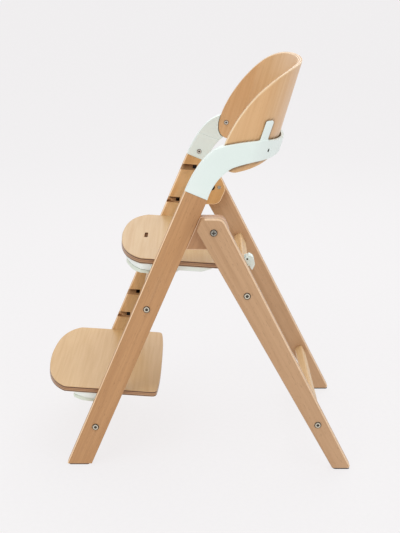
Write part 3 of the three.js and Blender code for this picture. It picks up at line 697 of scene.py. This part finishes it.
plate = as_object("hinge_plate_left", prism(round_corners([
    (leg_back(PLATE_BOTTOM) + GAP, PLATE_BOTTOM), (46, PLATE_BOTTOM, 20),
    (62, 532, 16), (50, PLATE_TOP, 18), (leg_back(PLATE_TOP) + GAP, PLATE_TOP)], 10),
    FRONT_IN, FRONT_OUT), LEG_AXES)
bevel(plate, 1.5, segments=4, slot=1)
boolean(plate, merged(rod(PIVOT, PIVOT_BORE, FRONT_IN - 1, FRONT_OUT + 1, 32),
                      rod(PIVOT, NUT_RADIUS + GAP, FRONT_IN - 2, FRONT_IN + 8)))
boolean(plate, rod(STOP_PIN, PIN_RADIUS + GAP, FRONT_IN - 1, FRONT_OUT + 1, 32))
bevel(plate, 0.4, angle=55, segments=2)
smooth(plate)
# the right plate also takes the paler, painted-light copy of the beech
finish_pair(plate, "front_frame", "front_beech", [plate_wood, plate_highlight], "hinge_plate",
            "plate_dowel_1", "plate_dowel_2", right_materials=[right_lit_wood, front_highlight])

for (end, level), (centre, thick, high) in BARS.items():
    half, lean = (FRONT_IN, leg_angle) if end == "front" else (REAR_IN, -REAR_LEAN)
    crossbar = as_object(
        f"{end}_bar_{level}_look",
        prism(turned_rect(centre, thick, high, lean, 4), GAP - half, half - GAP),
        Matrix.Translation((0, *centre)))
    bevel(crossbar, 0.8, angle=55, segments=2, slot=1)
    finish(smooth(crossbar), f"{end}_frame", "front_beech", [bar_wood, bar_highlight],
           f"{end}_crossbar_{level}")


def lathe(profile, steps=48):
    """A closed solid of revolution about X from (radius, x) points, both ends on the axis."""
    bm = bmesh.new()
    rings = []
    for radius, x in profile:
        points = circle((0, 0), radius, steps) if radius else [(0, 0)]
        rings.append([bm.verts.new((x, *point)) for point in points])
    for a, b in zip(rings, rings[1:]):
        for k in range(steps):
            j = (k + 1) % steps
            corners = [a[k % len(a)], a[j % len(a)], b[j % len(b)], b[k % len(b)]]
            unique = list(dict.fromkeys(corners))
            if len(unique) > 2:
                bm.faces.new(unique)
    bmesh.ops.recalc_face_normals(bm, faces=bm.faces)
    return bm


def screw(name, recess, head, rise, shank, length, socket, sink):
    """A screw along X with a domed head towards +X and a hexagon or cross recess. head, shank
    and socket are radii, and sink is the recess's depth."""
    profile = [(0, -length), (shank * 0.7, -length), (shank, -length + 1), (shank, 0),
               (head - 0.3, 0), (head, 0.3)]
    profile += [(head * (1 - 0.18 * (t / 6) ** 2), 0.3 + (rise - 0.45) * t / 6)
                for t in range(1, 6)]
    profile += [(head * 0.8, rise), (0, rise)]
    obj = as_object(name, lathe(profile))
    if recess == "hexagon":
        cutter = prism(circle((0, 0), socket * 1.15, 6), rise - sink, rise + 1)
    else:
        arm = socket * 0.32
        cutter = merged(block(rise - sink, rise + 1, -socket, socket, -arm, arm),
                        block(rise - sink, rise + 1, -arm, arm, -socket, socket))
    boolean(obj, cutter)
    return smooth(obj, 35)


def place_screws(node, size, point, seat, body, slot, material, inward=False, recess="hexagon"):
    """A screw on each side, its head seated at a distance from the middle plane."""
    for side, sign in (("left", 1), ("right", -1)):
        obj = screw(f"{node}_look_{side}", recess, **size)
        turn = Matrix.Rotation(math.pi, 4, "Z") if (sign > 0) == inward else Matrix()
        obj.matrix_world = world_axes(Matrix.Translation((sign * seat, *point)) @ turn)
        finish(obj, body, slot, material, f"{node}_{side}")


BAR_BOLT = {"head": 7.4, "rise": 2, "shank": 3.5, "length": 58, "socket": 3, "sink": 1.7}
SMALL_BOLT = {"head": 5.4, "rise": 2, "shank": 2.6, "length": 17, "socket": 2.4, "sink": 1.4}
PIVOT_BOLT = {"head": 7.6, "rise": 2.6, "shank": 4.9, "length": 42, "socket": 4.2, "sink": 1.6}
BACK_SCREW = {"head": 3.6, "rise": 1.4, "shank": 2, "length": 12, "socket": 1.8, "sink": 1}
UNDER_HEAD = 0.2
for (end, level), bar in BARS.items():
    outside = FRONT_OUT if end == "front" else REAR_OUT
    place_screws(f"{end}_bolt_{level}", BAR_BOLT, bar[0], outside + UNDER_HEAD, f"{end}_frame",
                 "bolt_steel", bolt_metal)
place_screws("pivot_bolt", PIVOT_BOLT, PIVOT, REAR_OUT + UNDER_HEAD, "rear_frame",
             "bright_steel", pivot_metal, recess="cross")
for node, point, face in (("arm_bolt", ARM_BOLT, FRONT_IN), ("backrest_bolt", BACK_BOLT, SHELL_IN[0])):
    place_screws(node, SMALL_BOLT, point, face - UNDER_HEAD, "front_frame", "bright_steel",
                 small_metal, inward=True)

nut = as_object("pivot_nut_left", prism(circle(PIVOT, NUT_RADIUS, 6),
                                        FRONT_IN + 2.3, FRONT_IN + 7.7))
boolean(nut, rod(PIVOT, PIVOT_BORE, FRONT_IN, FRONT_IN + 10, 32))
bevel(nut, 0.5, segments=2)
finish_pair(smooth(nut), "front_frame", "bolt_steel", bolt_metal, "pivot_nut")

pin = as_object("stop_pin_left", rod(STOP_PIN, PIN_RADIUS, FRONT_IN + 0.4, FRONT_OUT + 6.5))
bevel(pin, 0.6, segments=3)
finish_pair(smooth(pin), "front_frame", "bright_steel", bright_metal, "stop_pin")

for end, y0, y1, x0, x1 in (("front", -289, -244, FRONT_IN + 3, FRONT_OUT - 3),
                            ("rear", 291, 327, REAR_IN + 3, REAR_OUT - 3)):
    outline = round_corners([(x0, y0, 5), (x1, y0, 5), (x1, y1, 5), (x0, y1, 5)])
    glide = as_object(f"{end}_glide_left", prism(outline, 0, FOOT_LIFT - GAP, Matrix()))
    bevel(glide, 0.8, segments=3)
    finish_pair(smooth(glide), f"{end}_frame", "glide_rubber", rubber, f"{end}_glide")

# ------------------------------------------------------------------ rear frame


def rear_outline():
    def front(z):
        return 290.7 - 0.5523 * z

    def back(z):
        return 331.7 - 0.5079 * z
    return round_corners([
        (front(FOOT_LIFT), FOOT_LIFT, 3), (back(FOOT_LIFT), FOOT_LIFT, 5),
        (46.5, 565, 20), (3.5, 565, 9), (-7, 539, 6)], 10)


STOP_SWEEP = (math.radians(-2), math.radians(53))


def stop_groove():
    """The slot that the stop pin runs in, round the pivot."""
    half = PIN_RADIUS + 2 * GAP
    first, last = STOP_SWEEP
    ends = {a: arc(PIVOT, STOP_RADIUS, a, a, 1)[0] for a in STOP_SWEEP}
    outline = arc(PIVOT, STOP_RADIUS + half, first, last, 14)
    outline += arc(ends[last], half, last, last + math.pi, 8)[1:-1]
    outline += arc(PIVOT, STOP_RADIUS - half, last, first, 14)
    outline += arc(ends[first], half, first + math.pi, first + 2 * math.pi, 8)[1:-1]
    return prism(outline, REAR_IN - 1, FRONT_OUT + 7.5)


rear = as_object("rear_leg_left", prism(rear_outline(), REAR_IN, REAR_OUT), REAR_AXES)
bevel(rear, 2.9, segments=4, slot=1)
# painted highlight: the paler rounding stays only on the rear leg's back edge and most of its top
keep_highlight(rear, lambda y, z: y > 312 - 0.53 * z)
boolean(rear, stop_groove())
boolean(rear, merged(rod(PIVOT, PIVOT_BORE, REAR_IN - 2, REAR_OUT + 2, 32),
                     *bar_bores("rear", REAR_IN - 2, REAR_OUT + 2)))
bevel(rear, 0.5, angle=55, segments=2)
smooth(rear)
finish_pair(rear, "rear_frame", "rear_beech", [rear_wood, rear_highlight], "rear_leg")

bar_normal = Vector((math.cos(REAR_LEAN), math.sin(REAR_LEAN)))
bar_down = Vector((bar_normal.y, -bar_normal.x))
bar_middle, bar_thick, bar_high = BARS["rear", "upper"]
bar_top = Vector(bar_middle) + bar_normal * bar_thick / 2 - bar_down * bar_high / 2


def behind_bar(out, down, radius=0):
    """A corner this far out of the upper rear crossbar's back and down from its top edge."""
    point = bar_top + out * bar_normal + down * bar_down
    return (point.x, point.y, radius)


hook_pin = behind_bar(5.5, 5.5)[:2]
HOOK_HALF = 12
CHEEK_HALF = 16
bracket = as_object("hook_bracket_look", prism(round_corners([
    behind_bar(GAP, 1, 1), behind_bar(GAP, 22, 1), behind_bar(3.5, 20, 1.5),
    behind_bar(9.5, 11, 4), behind_bar(9.5, 1.5, 4)]), -CHEEK_HALF, CHEEK_HALF))
boolean(bracket, prism([behind_bar(1.6, -20)[:2], behind_bar(1.6, 40)[:2],
                        behind_bar(30, 40)[:2], behind_bar(30, -20)[:2]],
                       -HOOK_HALF - GAP, HOOK_HALF + GAP))
boolean(bracket, rod(hook_pin, AXLE_RADIUS + GAP, -20, 20, 24))
bevel(bracket, 0.5, angle=40, segments=3)
finish(smooth(bracket), "rear_frame", "white_plastic", white, "hook_bracket")

hook = as_object("fold_hook_look", prism(round_corners([
    behind_bar(2.2, 1.9, 3.5), behind_bar(9.5, 1.2, 2), behind_bar(13, -0.5, 3),
    behind_bar(19, 10, 8), behind_bar(15, 26, 9), behind_bar(2.2, 36, 2)]),
    -HOOK_HALF, HOOK_HALF))
boolean(hook, rod(hook_pin, AXLE_RADIUS + GAP, -20, 20, 24))
bevel(hook, 1.2, angle=40, segments=4)
finish(smooth(hook), "fold_hook", "white_plastic", white, "fold_hook")

axle = as_object("hook_pin_look",
                 rod(hook_pin, AXLE_RADIUS, -HOOK_HALF - 3.8, HOOK_HALF + 3.8, 24),
                 Matrix.Translation((0, *hook_pin)))
bevel(axle, 0.4, segments=2)
finish(smooth(axle), "rear_frame", "bolt_steel", dark_metal, "hook_pin")

# ------------------------------------------------------------------ armrest hoop


def band_outline(steps=26):
    """Side view of the hoop, from the seam on top of the leg to its rear end."""
    points = [seam_front, seam_back]
    points += bezier(seam_back, (22, 625), (44, 655), (68, 666), steps)
    points += bezier((68, 666), (88, 673), (104, 677), (124, 677.5), steps // 2)
    points += [Vector((200, 677)), Vector((200, 692))]
    points += bezier((200, 692), (176, 712), (146, 720), (120, 720.5), steps // 2)
    points += bezier((120, 720.5), (98, 719.5), (75, 715.5), (52, 711), steps // 2)
    points += bezier((52, 711), (14.7, 703.5), (-13.4, 659.4), seam_front, steps)[:-1]
    return points


def shell_lower(y, margin=0):
    return 653 - margin + 0.25 * (y - 70)


def shell_outline(margin, steps=40):
    front = 44 - margin
    corner = round_corners([(front, 700), (front, shell_lower(front, margin), 26 + margin),
                            (240, shell_lower(240, margin))], 14)
    points = [Vector((front, 690))] + corner[1:]
    points += [Vector((240, SHELL_TOP + margin)), Vector((214, SHELL_TOP + margin))]
    points += bezier((214, SHELL_TOP + margin), (136 - margin, 862 + margin),
                     (54 - margin, 750), (front, 690), steps)[:-1]
    return points


def bend_points(size, steps):
    """Plan points of the bend, from left to right."""
    half, depth = size
    return [Vector((half * math.cos(math.pi * k / steps),
                    BEND_Y + depth * math.sin(math.pi * k / steps))) for k in range(steps + 1)]


def bend_path(size, front_y):
    """Points of a U in plan, from the left front round the back to the right front."""
    half = size[0]
    return [Vector((half, front_y)), *bend_points(size, 96), Vector((-half, front_y))]


LEANING = Matrix(((1, 0, 0, 0), (0, 1, LEAN, -LEAN * LEAN_Z), (0, 0, 1, 0), (0, 0, 0, 1)))


def leaning_wall(outer, inner, z0, z1, front_y=-60):
    path = bend_path(outer, front_y) + bend_path(inner, front_y)[::-1]
    return prism(path, z0, z1, LEANING)


def remesh(obj, voxel, rounds):
    """One even skin over everything in the object, with edges softened."""
    modifier = obj.modifiers.new("skin", "REMESH")
    modifier.mode = "VOXEL"
    modifier.voxel_size = voxel * MM
    bake(obj)
    modifier = obj.modifiers.new("soften", "SMOOTH")
    modifier.factor = 0.5
    modifier.iterations = rounds
    bake(obj)
    for polygon in obj.data.polygons:
        polygon.use_smooth = True
    return obj


COVER_SEAM = ((-8, 671), (44, 652))
TAB = {"base": (126.8, 712), "lean": 0.33, "width": 17, "height": 47.5, "thick": 5}
BEND_SCREW_BACK = 43.5
BEND_SCREW_TURN = math.asin(BEND_SCREW_BACK / HOOP_OUT[1])
BEND_SCREW = Vector((HOOP_OUT[0] * math.cos(BEND_SCREW_TURN), BEND_Y + BEND_SCREW_BACK, 696.5))
BEND_SCREW_ANGLE = math.atan2(math.sin(BEND_SCREW_TURN) / HOOP_OUT[1],
                              math.cos(BEND_SCREW_TURN) / HOOP_OUT[0])


def arm_part(name, x0, x1, shell_margin, seam_gap, keep_below):
    """The arm's side view between two planes, ahead of the shell and of the bend."""
    obj = as_object(name, prism(band_outline(), x0, x1))
    boolean(obj, prism(shell_outline(shell_margin), x0 - 5, x1 + 5))
    boolean(obj, block(x0 - 5, x1 + 5, BEND_Y, BEND_Y + 120, 560, 780))
    (y0, z0), (y1, z1) = COVER_SEAM
    edge = [(y0 - 40, z0 + seam_gap), (y0, z0 + seam_gap), (y1, z1 + seam_gap),
            (140, z1 + seam_gap)]
    if keep_below:
        boolean(obj, prism(edge + [(140, 760), (y0 - 40, 760)], x0 - 1, FRONT_IN + 2.7))
    else:
        boolean(obj, prism(edge[::-1] + [(y0 - 40, 560), (140, 560)], x0 - 5, x1 + 5))
    return obj


def tab_outline():
    y, z = TAB["base"]
    half, lean, top = TAB["width"] / 2, TAB["lean"] * TAB["height"], z + TAB["height"]
    return round_corners([(y - half, z), (y + half, z), (y + lean + half, top, 4.5),
                          (y + lean - half, top, 4.5)])


def bend_axes(sign, depth=0):
    """Axes at the screw in the hoop's bend, with X out of the hoop, and depth into it."""
    angle = BEND_SCREW_ANGLE if sign > 0 else math.pi - BEND_SCREW_ANGLE
    turn = Matrix.Rotation(angle, 4, "Z")
    place = Vector((sign * BEND_SCREW.x, BEND_SCREW.y, BEND_SCREW.z))
    return Matrix.Translation(place - depth * turn.col[0].xyz) @ turn


def hoop():
    wall = as_object("hoop_wall", leaning_wall(HOOP_OUT, HOOP_IN, 570, 760))
    boolean(wall, prism(band_outline(), -230, 230), "INTERSECT")
    for sign in (1, -1):
        boolean(wall, prism(circle((0, 0), 3.9, 32), -4.2, 6, bend_axes(sign) @ SIDE))
    ahead = arm_part("arm_block", FRONT_IN, FRONT_OUT - 1, 1, 0, True)
    tab_inner = (HOOP_IN[0] + 0.2, HOOP_IN[1] + 0.2)
    tab_outer = (tab_inner[0] + TAB["thick"], tab_inner[1] + TAB["thick"])
    tab = as_object("tab", leaning_wall(tab_outer, tab_inner, 690, 790))
    boolean(tab, merged(*[prism(tab_outline(), a, b) for a, b in ((60, 213), (-213, -60))]),
            "INTERSECT")
    parts = (wall, ahead, mirror_copy(ahead, "arm_block_right"), tab)
    obj = as_object("armrest_hoop_look", merged(*[drawing_mesh(part) for part in parts]))
    return remesh(obj, 1.1, 6)


def drawing_mesh(obj):
    """An object's mesh taken back to the drawing's millimetres; the object is removed."""
    bm = bmesh.new()
    bm.from_mesh(obj.data)
    bm.transform(PLACE.inverted() @ obj.matrix_world)
    bpy.data.objects.remove(obj)
    return bm


finish(hoop(), "front_frame", "white_plastic", white, "armrest_hoop")

cover = arm_part("arm_inner_cover_left", FRONT_IN + 0.1, FRONT_IN + 2.7, 1.3, GAP, False)
bevel(cover, 0.6, angle=40, segments=3)
finish_pair(smooth(cover), "front_frame", "white_plastic", white, "arm_inner_cover")

for side, sign in (("left", 1), ("right", -1)):
    head = screw(f"backrest_screw_look_{side}", "cross", **BACK_SCREW)
    head.matrix_world = world_axes(bend_axes(sign, 3.6))
    finish(head, "front_frame", "bright_steel", dark_metal, f"backrest_screw_{side}")

# ------------------------------------------------------------------ backrest shell


def crossings(outline, start_y):
    """Heights where the outline meets the leaning line that passes (start_y, LEAN_Z)."""
    found = []
    for a, b in zip(outline, outline[1:] + outline[:1]):
        fa = a.x - LEAN * (a.y - LEAN_Z) - start_y
        fb = b.x - LEAN * (b.y - LEAN_Z) - start_y
        if (fa < 0) != (fb < 0):
            t = fa / (fa - fb)
            found.append(a.y + (b.y - a.y) * t)
    return (min(found), max(found)) if len(found) > 1 else None


def nearest(*outlines):
    """A function for the distance from a point to outlines, through points set close on them."""
    points = []
    for outline in outlines:
        for a, b in zip(outline, outline[1:]):
            steps = max(1, int((b - a).length / 0.6))
            points += [a.lerp(b, k / steps) for k in range(steps)]
    tree = KDTree(len(points))
    for index, point in enumerate(points):
        tree.insert((*point, 0), index)
    tree.balance()
    return lambda place: tree.find((*place, 0))[2]


SHELL_ROWS = 44
LAYERS = (0, 0.06, 0.2, 0.35, 0.5, 0.65, 0.8, 0.94, 1)
EDGE_ROUNDING = 1.6


def shell_columns(size, tip):
    """Plan points round the U, set closest at the wings' tips."""
    half = size[0]
    starts = [tip + 0.02 + (BEND_Y - tip) * (k / 40) ** 2 for k in range(41)]
    return ([Vector((half, y)) for y in starts] + bend_points(size, 72)[1:-1]
            + [Vector((-half, y)) for y in reversed(starts)])


def column_heights(outline, start_y, depth):
    """Heights of a column's points, drawn in from the outline where the edges are rounded."""
    low, high = crossings(outline, start_y) or (690, 690)
    pull = EDGE_ROUNDING * (1 - math.sqrt(max(0, 1 - (2 * depth - 1) ** 6)))
    low, high = low + pull, high - pull
    if high < low:
        low = high = (low + high) / 2
    border = min(3, (high - low) / SHELL_ROWS)
    step = (high - low - 2 * border) / (SHELL_ROWS - 2)
    return [low, *(low + border + step * r for r in range(SHELL_ROWS - 1)), high]


def weave(bm, lines):
    """Faces between each line of points and the next."""
    for a, b in zip(lines, lines[1:]):
        for k in range(len(a) - 1):
            bm.faces.new((a[k], b[k], b[k + 1], a[k + 1]))


def shell():
    """A bent sheet in layers of columns round the U, trimmed by the side view."""
    outline = shell_outline(0, 120)
    tip = min(p.x - LEAN * (p.y - LEAN_Z) for p in outline)
    rim_near = nearest([p for p in outline if p.y > 690])
    hoop_edge_near = nearest(band_outline(60), tab_outline())
    bm = bmesh.new()
    # seam holds painted shade under the hoop and round the tab
    depth_layer, rim_highlight_layer, hoop_shade_layer = [
        bm.verts.layers.float.new(name) for name in ("ply_depth", "rim_highlight", "seam")]
    outer, inner = shell_columns(SHELL_OUT, tip), shell_columns(SHELL_IN, tip)
    grids = []
    for depth in LAYERS:
        grid = []
        for a, b in zip(outer, inner):
            place = a + (b - a) * depth
            column = []
            for z in column_heights(outline, place.y, depth):
                vert = bm.verts.new((place.x, place.y + LEAN * (z - LEAN_Z), z))
                vert[depth_layer] = depth
                if depth == 0:
                    side_view = vert.co.yz
                    # cream band near the top edge of the outer face: partly pale veneer on the
                    # rounding, partly painted highlight
                    vert[rim_highlight_layer] = max(0, 1 - rim_near(side_view) / 3.2) ** 0.5
                    # painted shade along the hoop's lower seam and round the tab; the hoop stands off
                    # the shell, so from above its lower seam shows lower
                    gap = min(hoop_edge_near(side_view), hoop_edge_near(side_view + Vector((0, 3.6))))
                    vert[hoop_shade_layer] = max(0, 1 - gap / 3.6)
                column.append(vert)
            grid.append(column)
        grids.append(grid)
    for grid in (grids[0], grids[-1]):
        weave(bm, grid)
    for end in (0, -1):
        weave(bm, [[column[end] for column in grid] for grid in grids])
        weave(bm, [grid[end] for grid in grids])
    for vert in [v for v in bm.verts if not v.link_faces]:
        bm.verts.remove(vert)
    bmesh.ops.remove_doubles(bm, verts=bm.verts, dist=0.004)
    bmesh.ops.recalc_face_normals(bm, faces=bm.faces)
    return smooth(as_object("backrest_shell_look", bm, Matrix.Translation((0, 130, 760))))


finish(shell(), "front_frame", "back_plywood", shell_ply, "backrest_shell")

# ------------------------------------------------------------------ seat and footrest


def ply_outline(plan, inset, steps=18):
    half = BOARD_HALF - inset
    y = plan["front"] + inset
    back = plan["front"] + plan["depth"] - inset
    right = [Vector((0, y))]
    right += bezier((0, y), (60, y + 1.5), (150, y + 4.5), (half - 1, y + 50), steps)
    right += bezier((half - 1, y + 50), (half, y + 64), (half, y + 78), (half, y + 92), 6)
    right += [Vector((half, back - 18))]
    right += bezier((half, back - 18), (half, back - 9), (half - 4, back - 6),
                    (half - 14, back - 5), 8)
    right += bezier((half - 14, back - 5), (half - 60, back), (60, back), (0, back), steps)
    left = [Vector((-p.x, p.y)) for p in reversed(right[1:-1])]
    return right + left


def board(plan, axes, material):
    obj = as_object(f"{plan['name']}_board_look",
                    prism(ply_outline(plan, 0), PLY_LIFT, PLY_LIFT + PLY, axes), axes)
    bevel(obj, 1.6, segments=5)
    if plan["slot"]:
        y = plan["front"] + 54
        boolean(obj, prism(round_corners([(-20, y - 3.75, 1.5), (20, y - 3.75, 1.5),
                                          (20, y + 3.75, 1.5), (-20, y + 3.75, 1.5)], 4),
                           -20, 40, axes))
        bevel(obj, 0.5, angle=55, segments=2)
    finish(smooth(obj), "front_frame", "seat_plywood", material, f"{plan['name']}_board")


LEVER_HINGE = (36, -17.5)
LEVER_IN, LEVER_OUT = 132, 180.5


def carrier(plan, axes):
    front, top, rear = plan["lever_front"] + 3, PLY_LIFT - GAP, plan["rail_rear"]
    side = bezier((front, -3.6), (front + 12, -9.5), (front + 30, RAIL_DEEP * 0.96),
                  (0, RAIL_DEEP), 14)
    obj = as_object(f"{plan['name']}_carrier_look_left", prism(round_corners(
        [(front, -3.6, 1.2)] + [tuple(p) for p in side] + rear
        + [(rear[-1][0], top), (front, top)], 6), CARRIER_INNER, BOARD_HALF - 1,
        axes @ SIDE), axes)
    boolean(obj, prism(ply_outline(plan, 1.5), -40, 20, axes), "INTERSECT")
    boolean(obj, block(BOARD_HALF - 8, FRONT_IN + GROOVE_DEPTH - 0.6, 0.5, GROOVE_LENGTH - 0.6,
                       RAIL_DEEP, -0.6, axes), "UNION")
    for x0, x1 in ((CARRIER_INNER, LEVER_IN - GAP), (LEVER_OUT + GAP, BOARD_HALF - 1)):
        lug = round_corners([(26, -12), (31, -22, 3), (41, -22, 4), (44, -12)])
        boolean(obj, prism(lug, x0, x1, axes @ SIDE), "UNION")
    middle, half = -GROOVE_HEIGHT / 2, LOCK_HOLE / 2
    boolean(obj, block(150, FRONT_IN + 14, LOCK_HOLE_FROM, LOCK_HOLE_FROM + LOCK_HOLE,
                       middle - half, middle + half, axes))
    boolean(obj, prism(circle(LEVER_HINGE, AXLE_RADIUS + GAP, 24),
                       CARRIER_INNER - 5, BOARD_HALF + 5, axes @ SIDE))
    bevel(obj, 0.7, angle=40, segments=3)
    finish_pair(smooth(obj), "front_frame", "white_plastic", rail_white_lit,
                f"{plan['name']}_carrier")


def lever(plan, axes):
    front = plan["lever_front"]
    top = bezier((front, -4.9), (front + 13, -11.2), (front + 32, -14.2), (0, RAIL_DEEP - 1.4), 14)
    obj = as_object(f"{plan['name']}_lever_look_left", prism(round_corners(
        [(front, -4.9, 2)] + [tuple(p) for p in top]
        + [(40, RAIL_DEEP - 1.4, 3), (42, -22, 3), (0, -22, 60), (front + 21, -20.2, 24),
           (front + 3, -13.5, 6)], 8), LEVER_IN, LEVER_OUT, axes @ SIDE), axes)
    boolean(obj, prism(ply_outline(plan, 2.5), -40, 20, axes), "INTERSECT")
    boolean(obj, prism(circle(LEVER_HINGE, AXLE_RADIUS, 24), CARRIER_INNER + 1, BOARD_HALF - 2,
                       axes @ SIDE), "UNION")
    bevel(obj, 1.2, angle=40, segments=4)
    node = f"{plan['name']}_lever"
    finish_pair(smooth(obj), None, "white_plastic", rail_bottom, node, bodies=node)


def lock_pin(plan, axes):
    y, z, half = LOCK_HOLE_FROM + LOCK_HOLE / 2, -GROOVE_HEIGHT / 2, LOCK_HOLE / 2 - GAP
    tip = FRONT_IN + GROOVE_DEPTH + 6.6
    obj = as_object(f"{plan['name']}_pin_look_left",
                    block(tip - 40, tip, y - half, y + half, z - half, z + half, axes), axes)
    bevel(obj, 0.8, segments=3)
    node = f"{plan['name']}_lock_pin"
    finish_pair(smooth(obj), None, "bright_steel", bright_metal, node, bodies=node)


for plan, material in ((SEAT, seat_ply), (FOOTREST, foot_ply)):
    axes = groove_matrix(plan["top"])
    board(plan, axes, material)
    carrier(plan, axes)
    lever(plan, axes)
    lock_pin(plan, axes)

# ------------------------------------------------------------------ floor, lights and camera


def studio():
    """Floor and wall in one sweep, of bright paper that takes only a faint shadow."""
    nodes = Nodes("studio_paper")
    grain = nodes.noise(nodes.coordinates((90, 90, 90)), 1, 3, 0.5)
    nodes.link(nodes.ramp(grain, [(0.3, (0.095,) * 3), (0.7, (0.105,) * 3)]), "Base Color")
    nodes.fixed(Emission_Color=rgb(242, 240, 241), Emission_Strength=0.9, Roughness=0.9,
                Specular_IOR_Level=0)
    mesh = bpy.data.meshes.new("floor")
    bm = bmesh.new()
    front, back, radius, half, height = 6, -3, 1.6, 9, 8
    bend = [(p.x, p.y) for p in arc((back, radius), radius, -math.pi / 2, -math.pi, 16)]
    profile = [(front, 0), *bend, (back - radius, height)]
    weave(bm, [[bm.verts.new((x, y, z)) for x, z in profile] for y in (-half, half)])
    for face in bm.faces:
        face.smooth = True
    bmesh.ops.recalc_face_normals(bm, faces=bm.faces)
    bm.to_mesh(mesh)
    bm.free()
    mesh.materials.append(nodes.material)
    floor = new_object("studio_floor", mesh)


def aim(obj, location, direction):
    obj.location = location
    obj.rotation_mode = "QUATERNION"
    obj.rotation_quaternion = Vector(direction).to_track_quat("-Z", "Y")


studio()
LIGHTS = (  # name, place, height that it faces on the Z axis, size, watts
    ("key", (2.2, -1.6, 3.0), 0.4, (2.4, 2.4), 36),
    ("low", (3.2, -0.7, 0.6), 0.4, (1.8, 1.2), 4),
    ("top", (0.0, 0.3, 3.4), 0.3, (3.2, 3.2), 43),
    ("fill", (2.6, 2.2, 1.4), 0.4, (2.6, 2.2), 25),
    ("rear", (-2.0, 0.5, 2.4), 0.5, (2.4, 2.0), 22))
for name, location, target_z, size, power in LIGHTS:
    light = bpy.data.lights.new(name, "AREA")
    light.shape = "RECTANGLE"
    light.size, light.size_y = size
    light.energy = power
    aim(new_object(name, light), location, Vector((0, 0, target_z)) - Vector(location))

world = bpy.data.worlds.new("studio_world")
bpy.context.scene.world = world
world.use_nodes = True
background = world.node_tree.nodes["Background"]
background.inputs["Color"].default_value = (1, 0.995, 0.99, 1)
background.inputs["Strength"].default_value = 0.45

CAMERA_PLACE = (2361, 0, 1118)
CAMERA_PITCH = math.radians(17.05)
camera_data = bpy.data.cameras.new("camera")
camera_data.lens = 73.1
camera_data.sensor_width = 36
camera = new_object("camera", camera_data)
aim(camera, PLACE @ Vector(CAMERA_PLACE), (-math.cos(CAMERA_PITCH), 0, -math.sin(CAMERA_PITCH)))
bpy.context.scene.camera = camera
bpy.context.scene.view_settings.view_transform = "Standard"
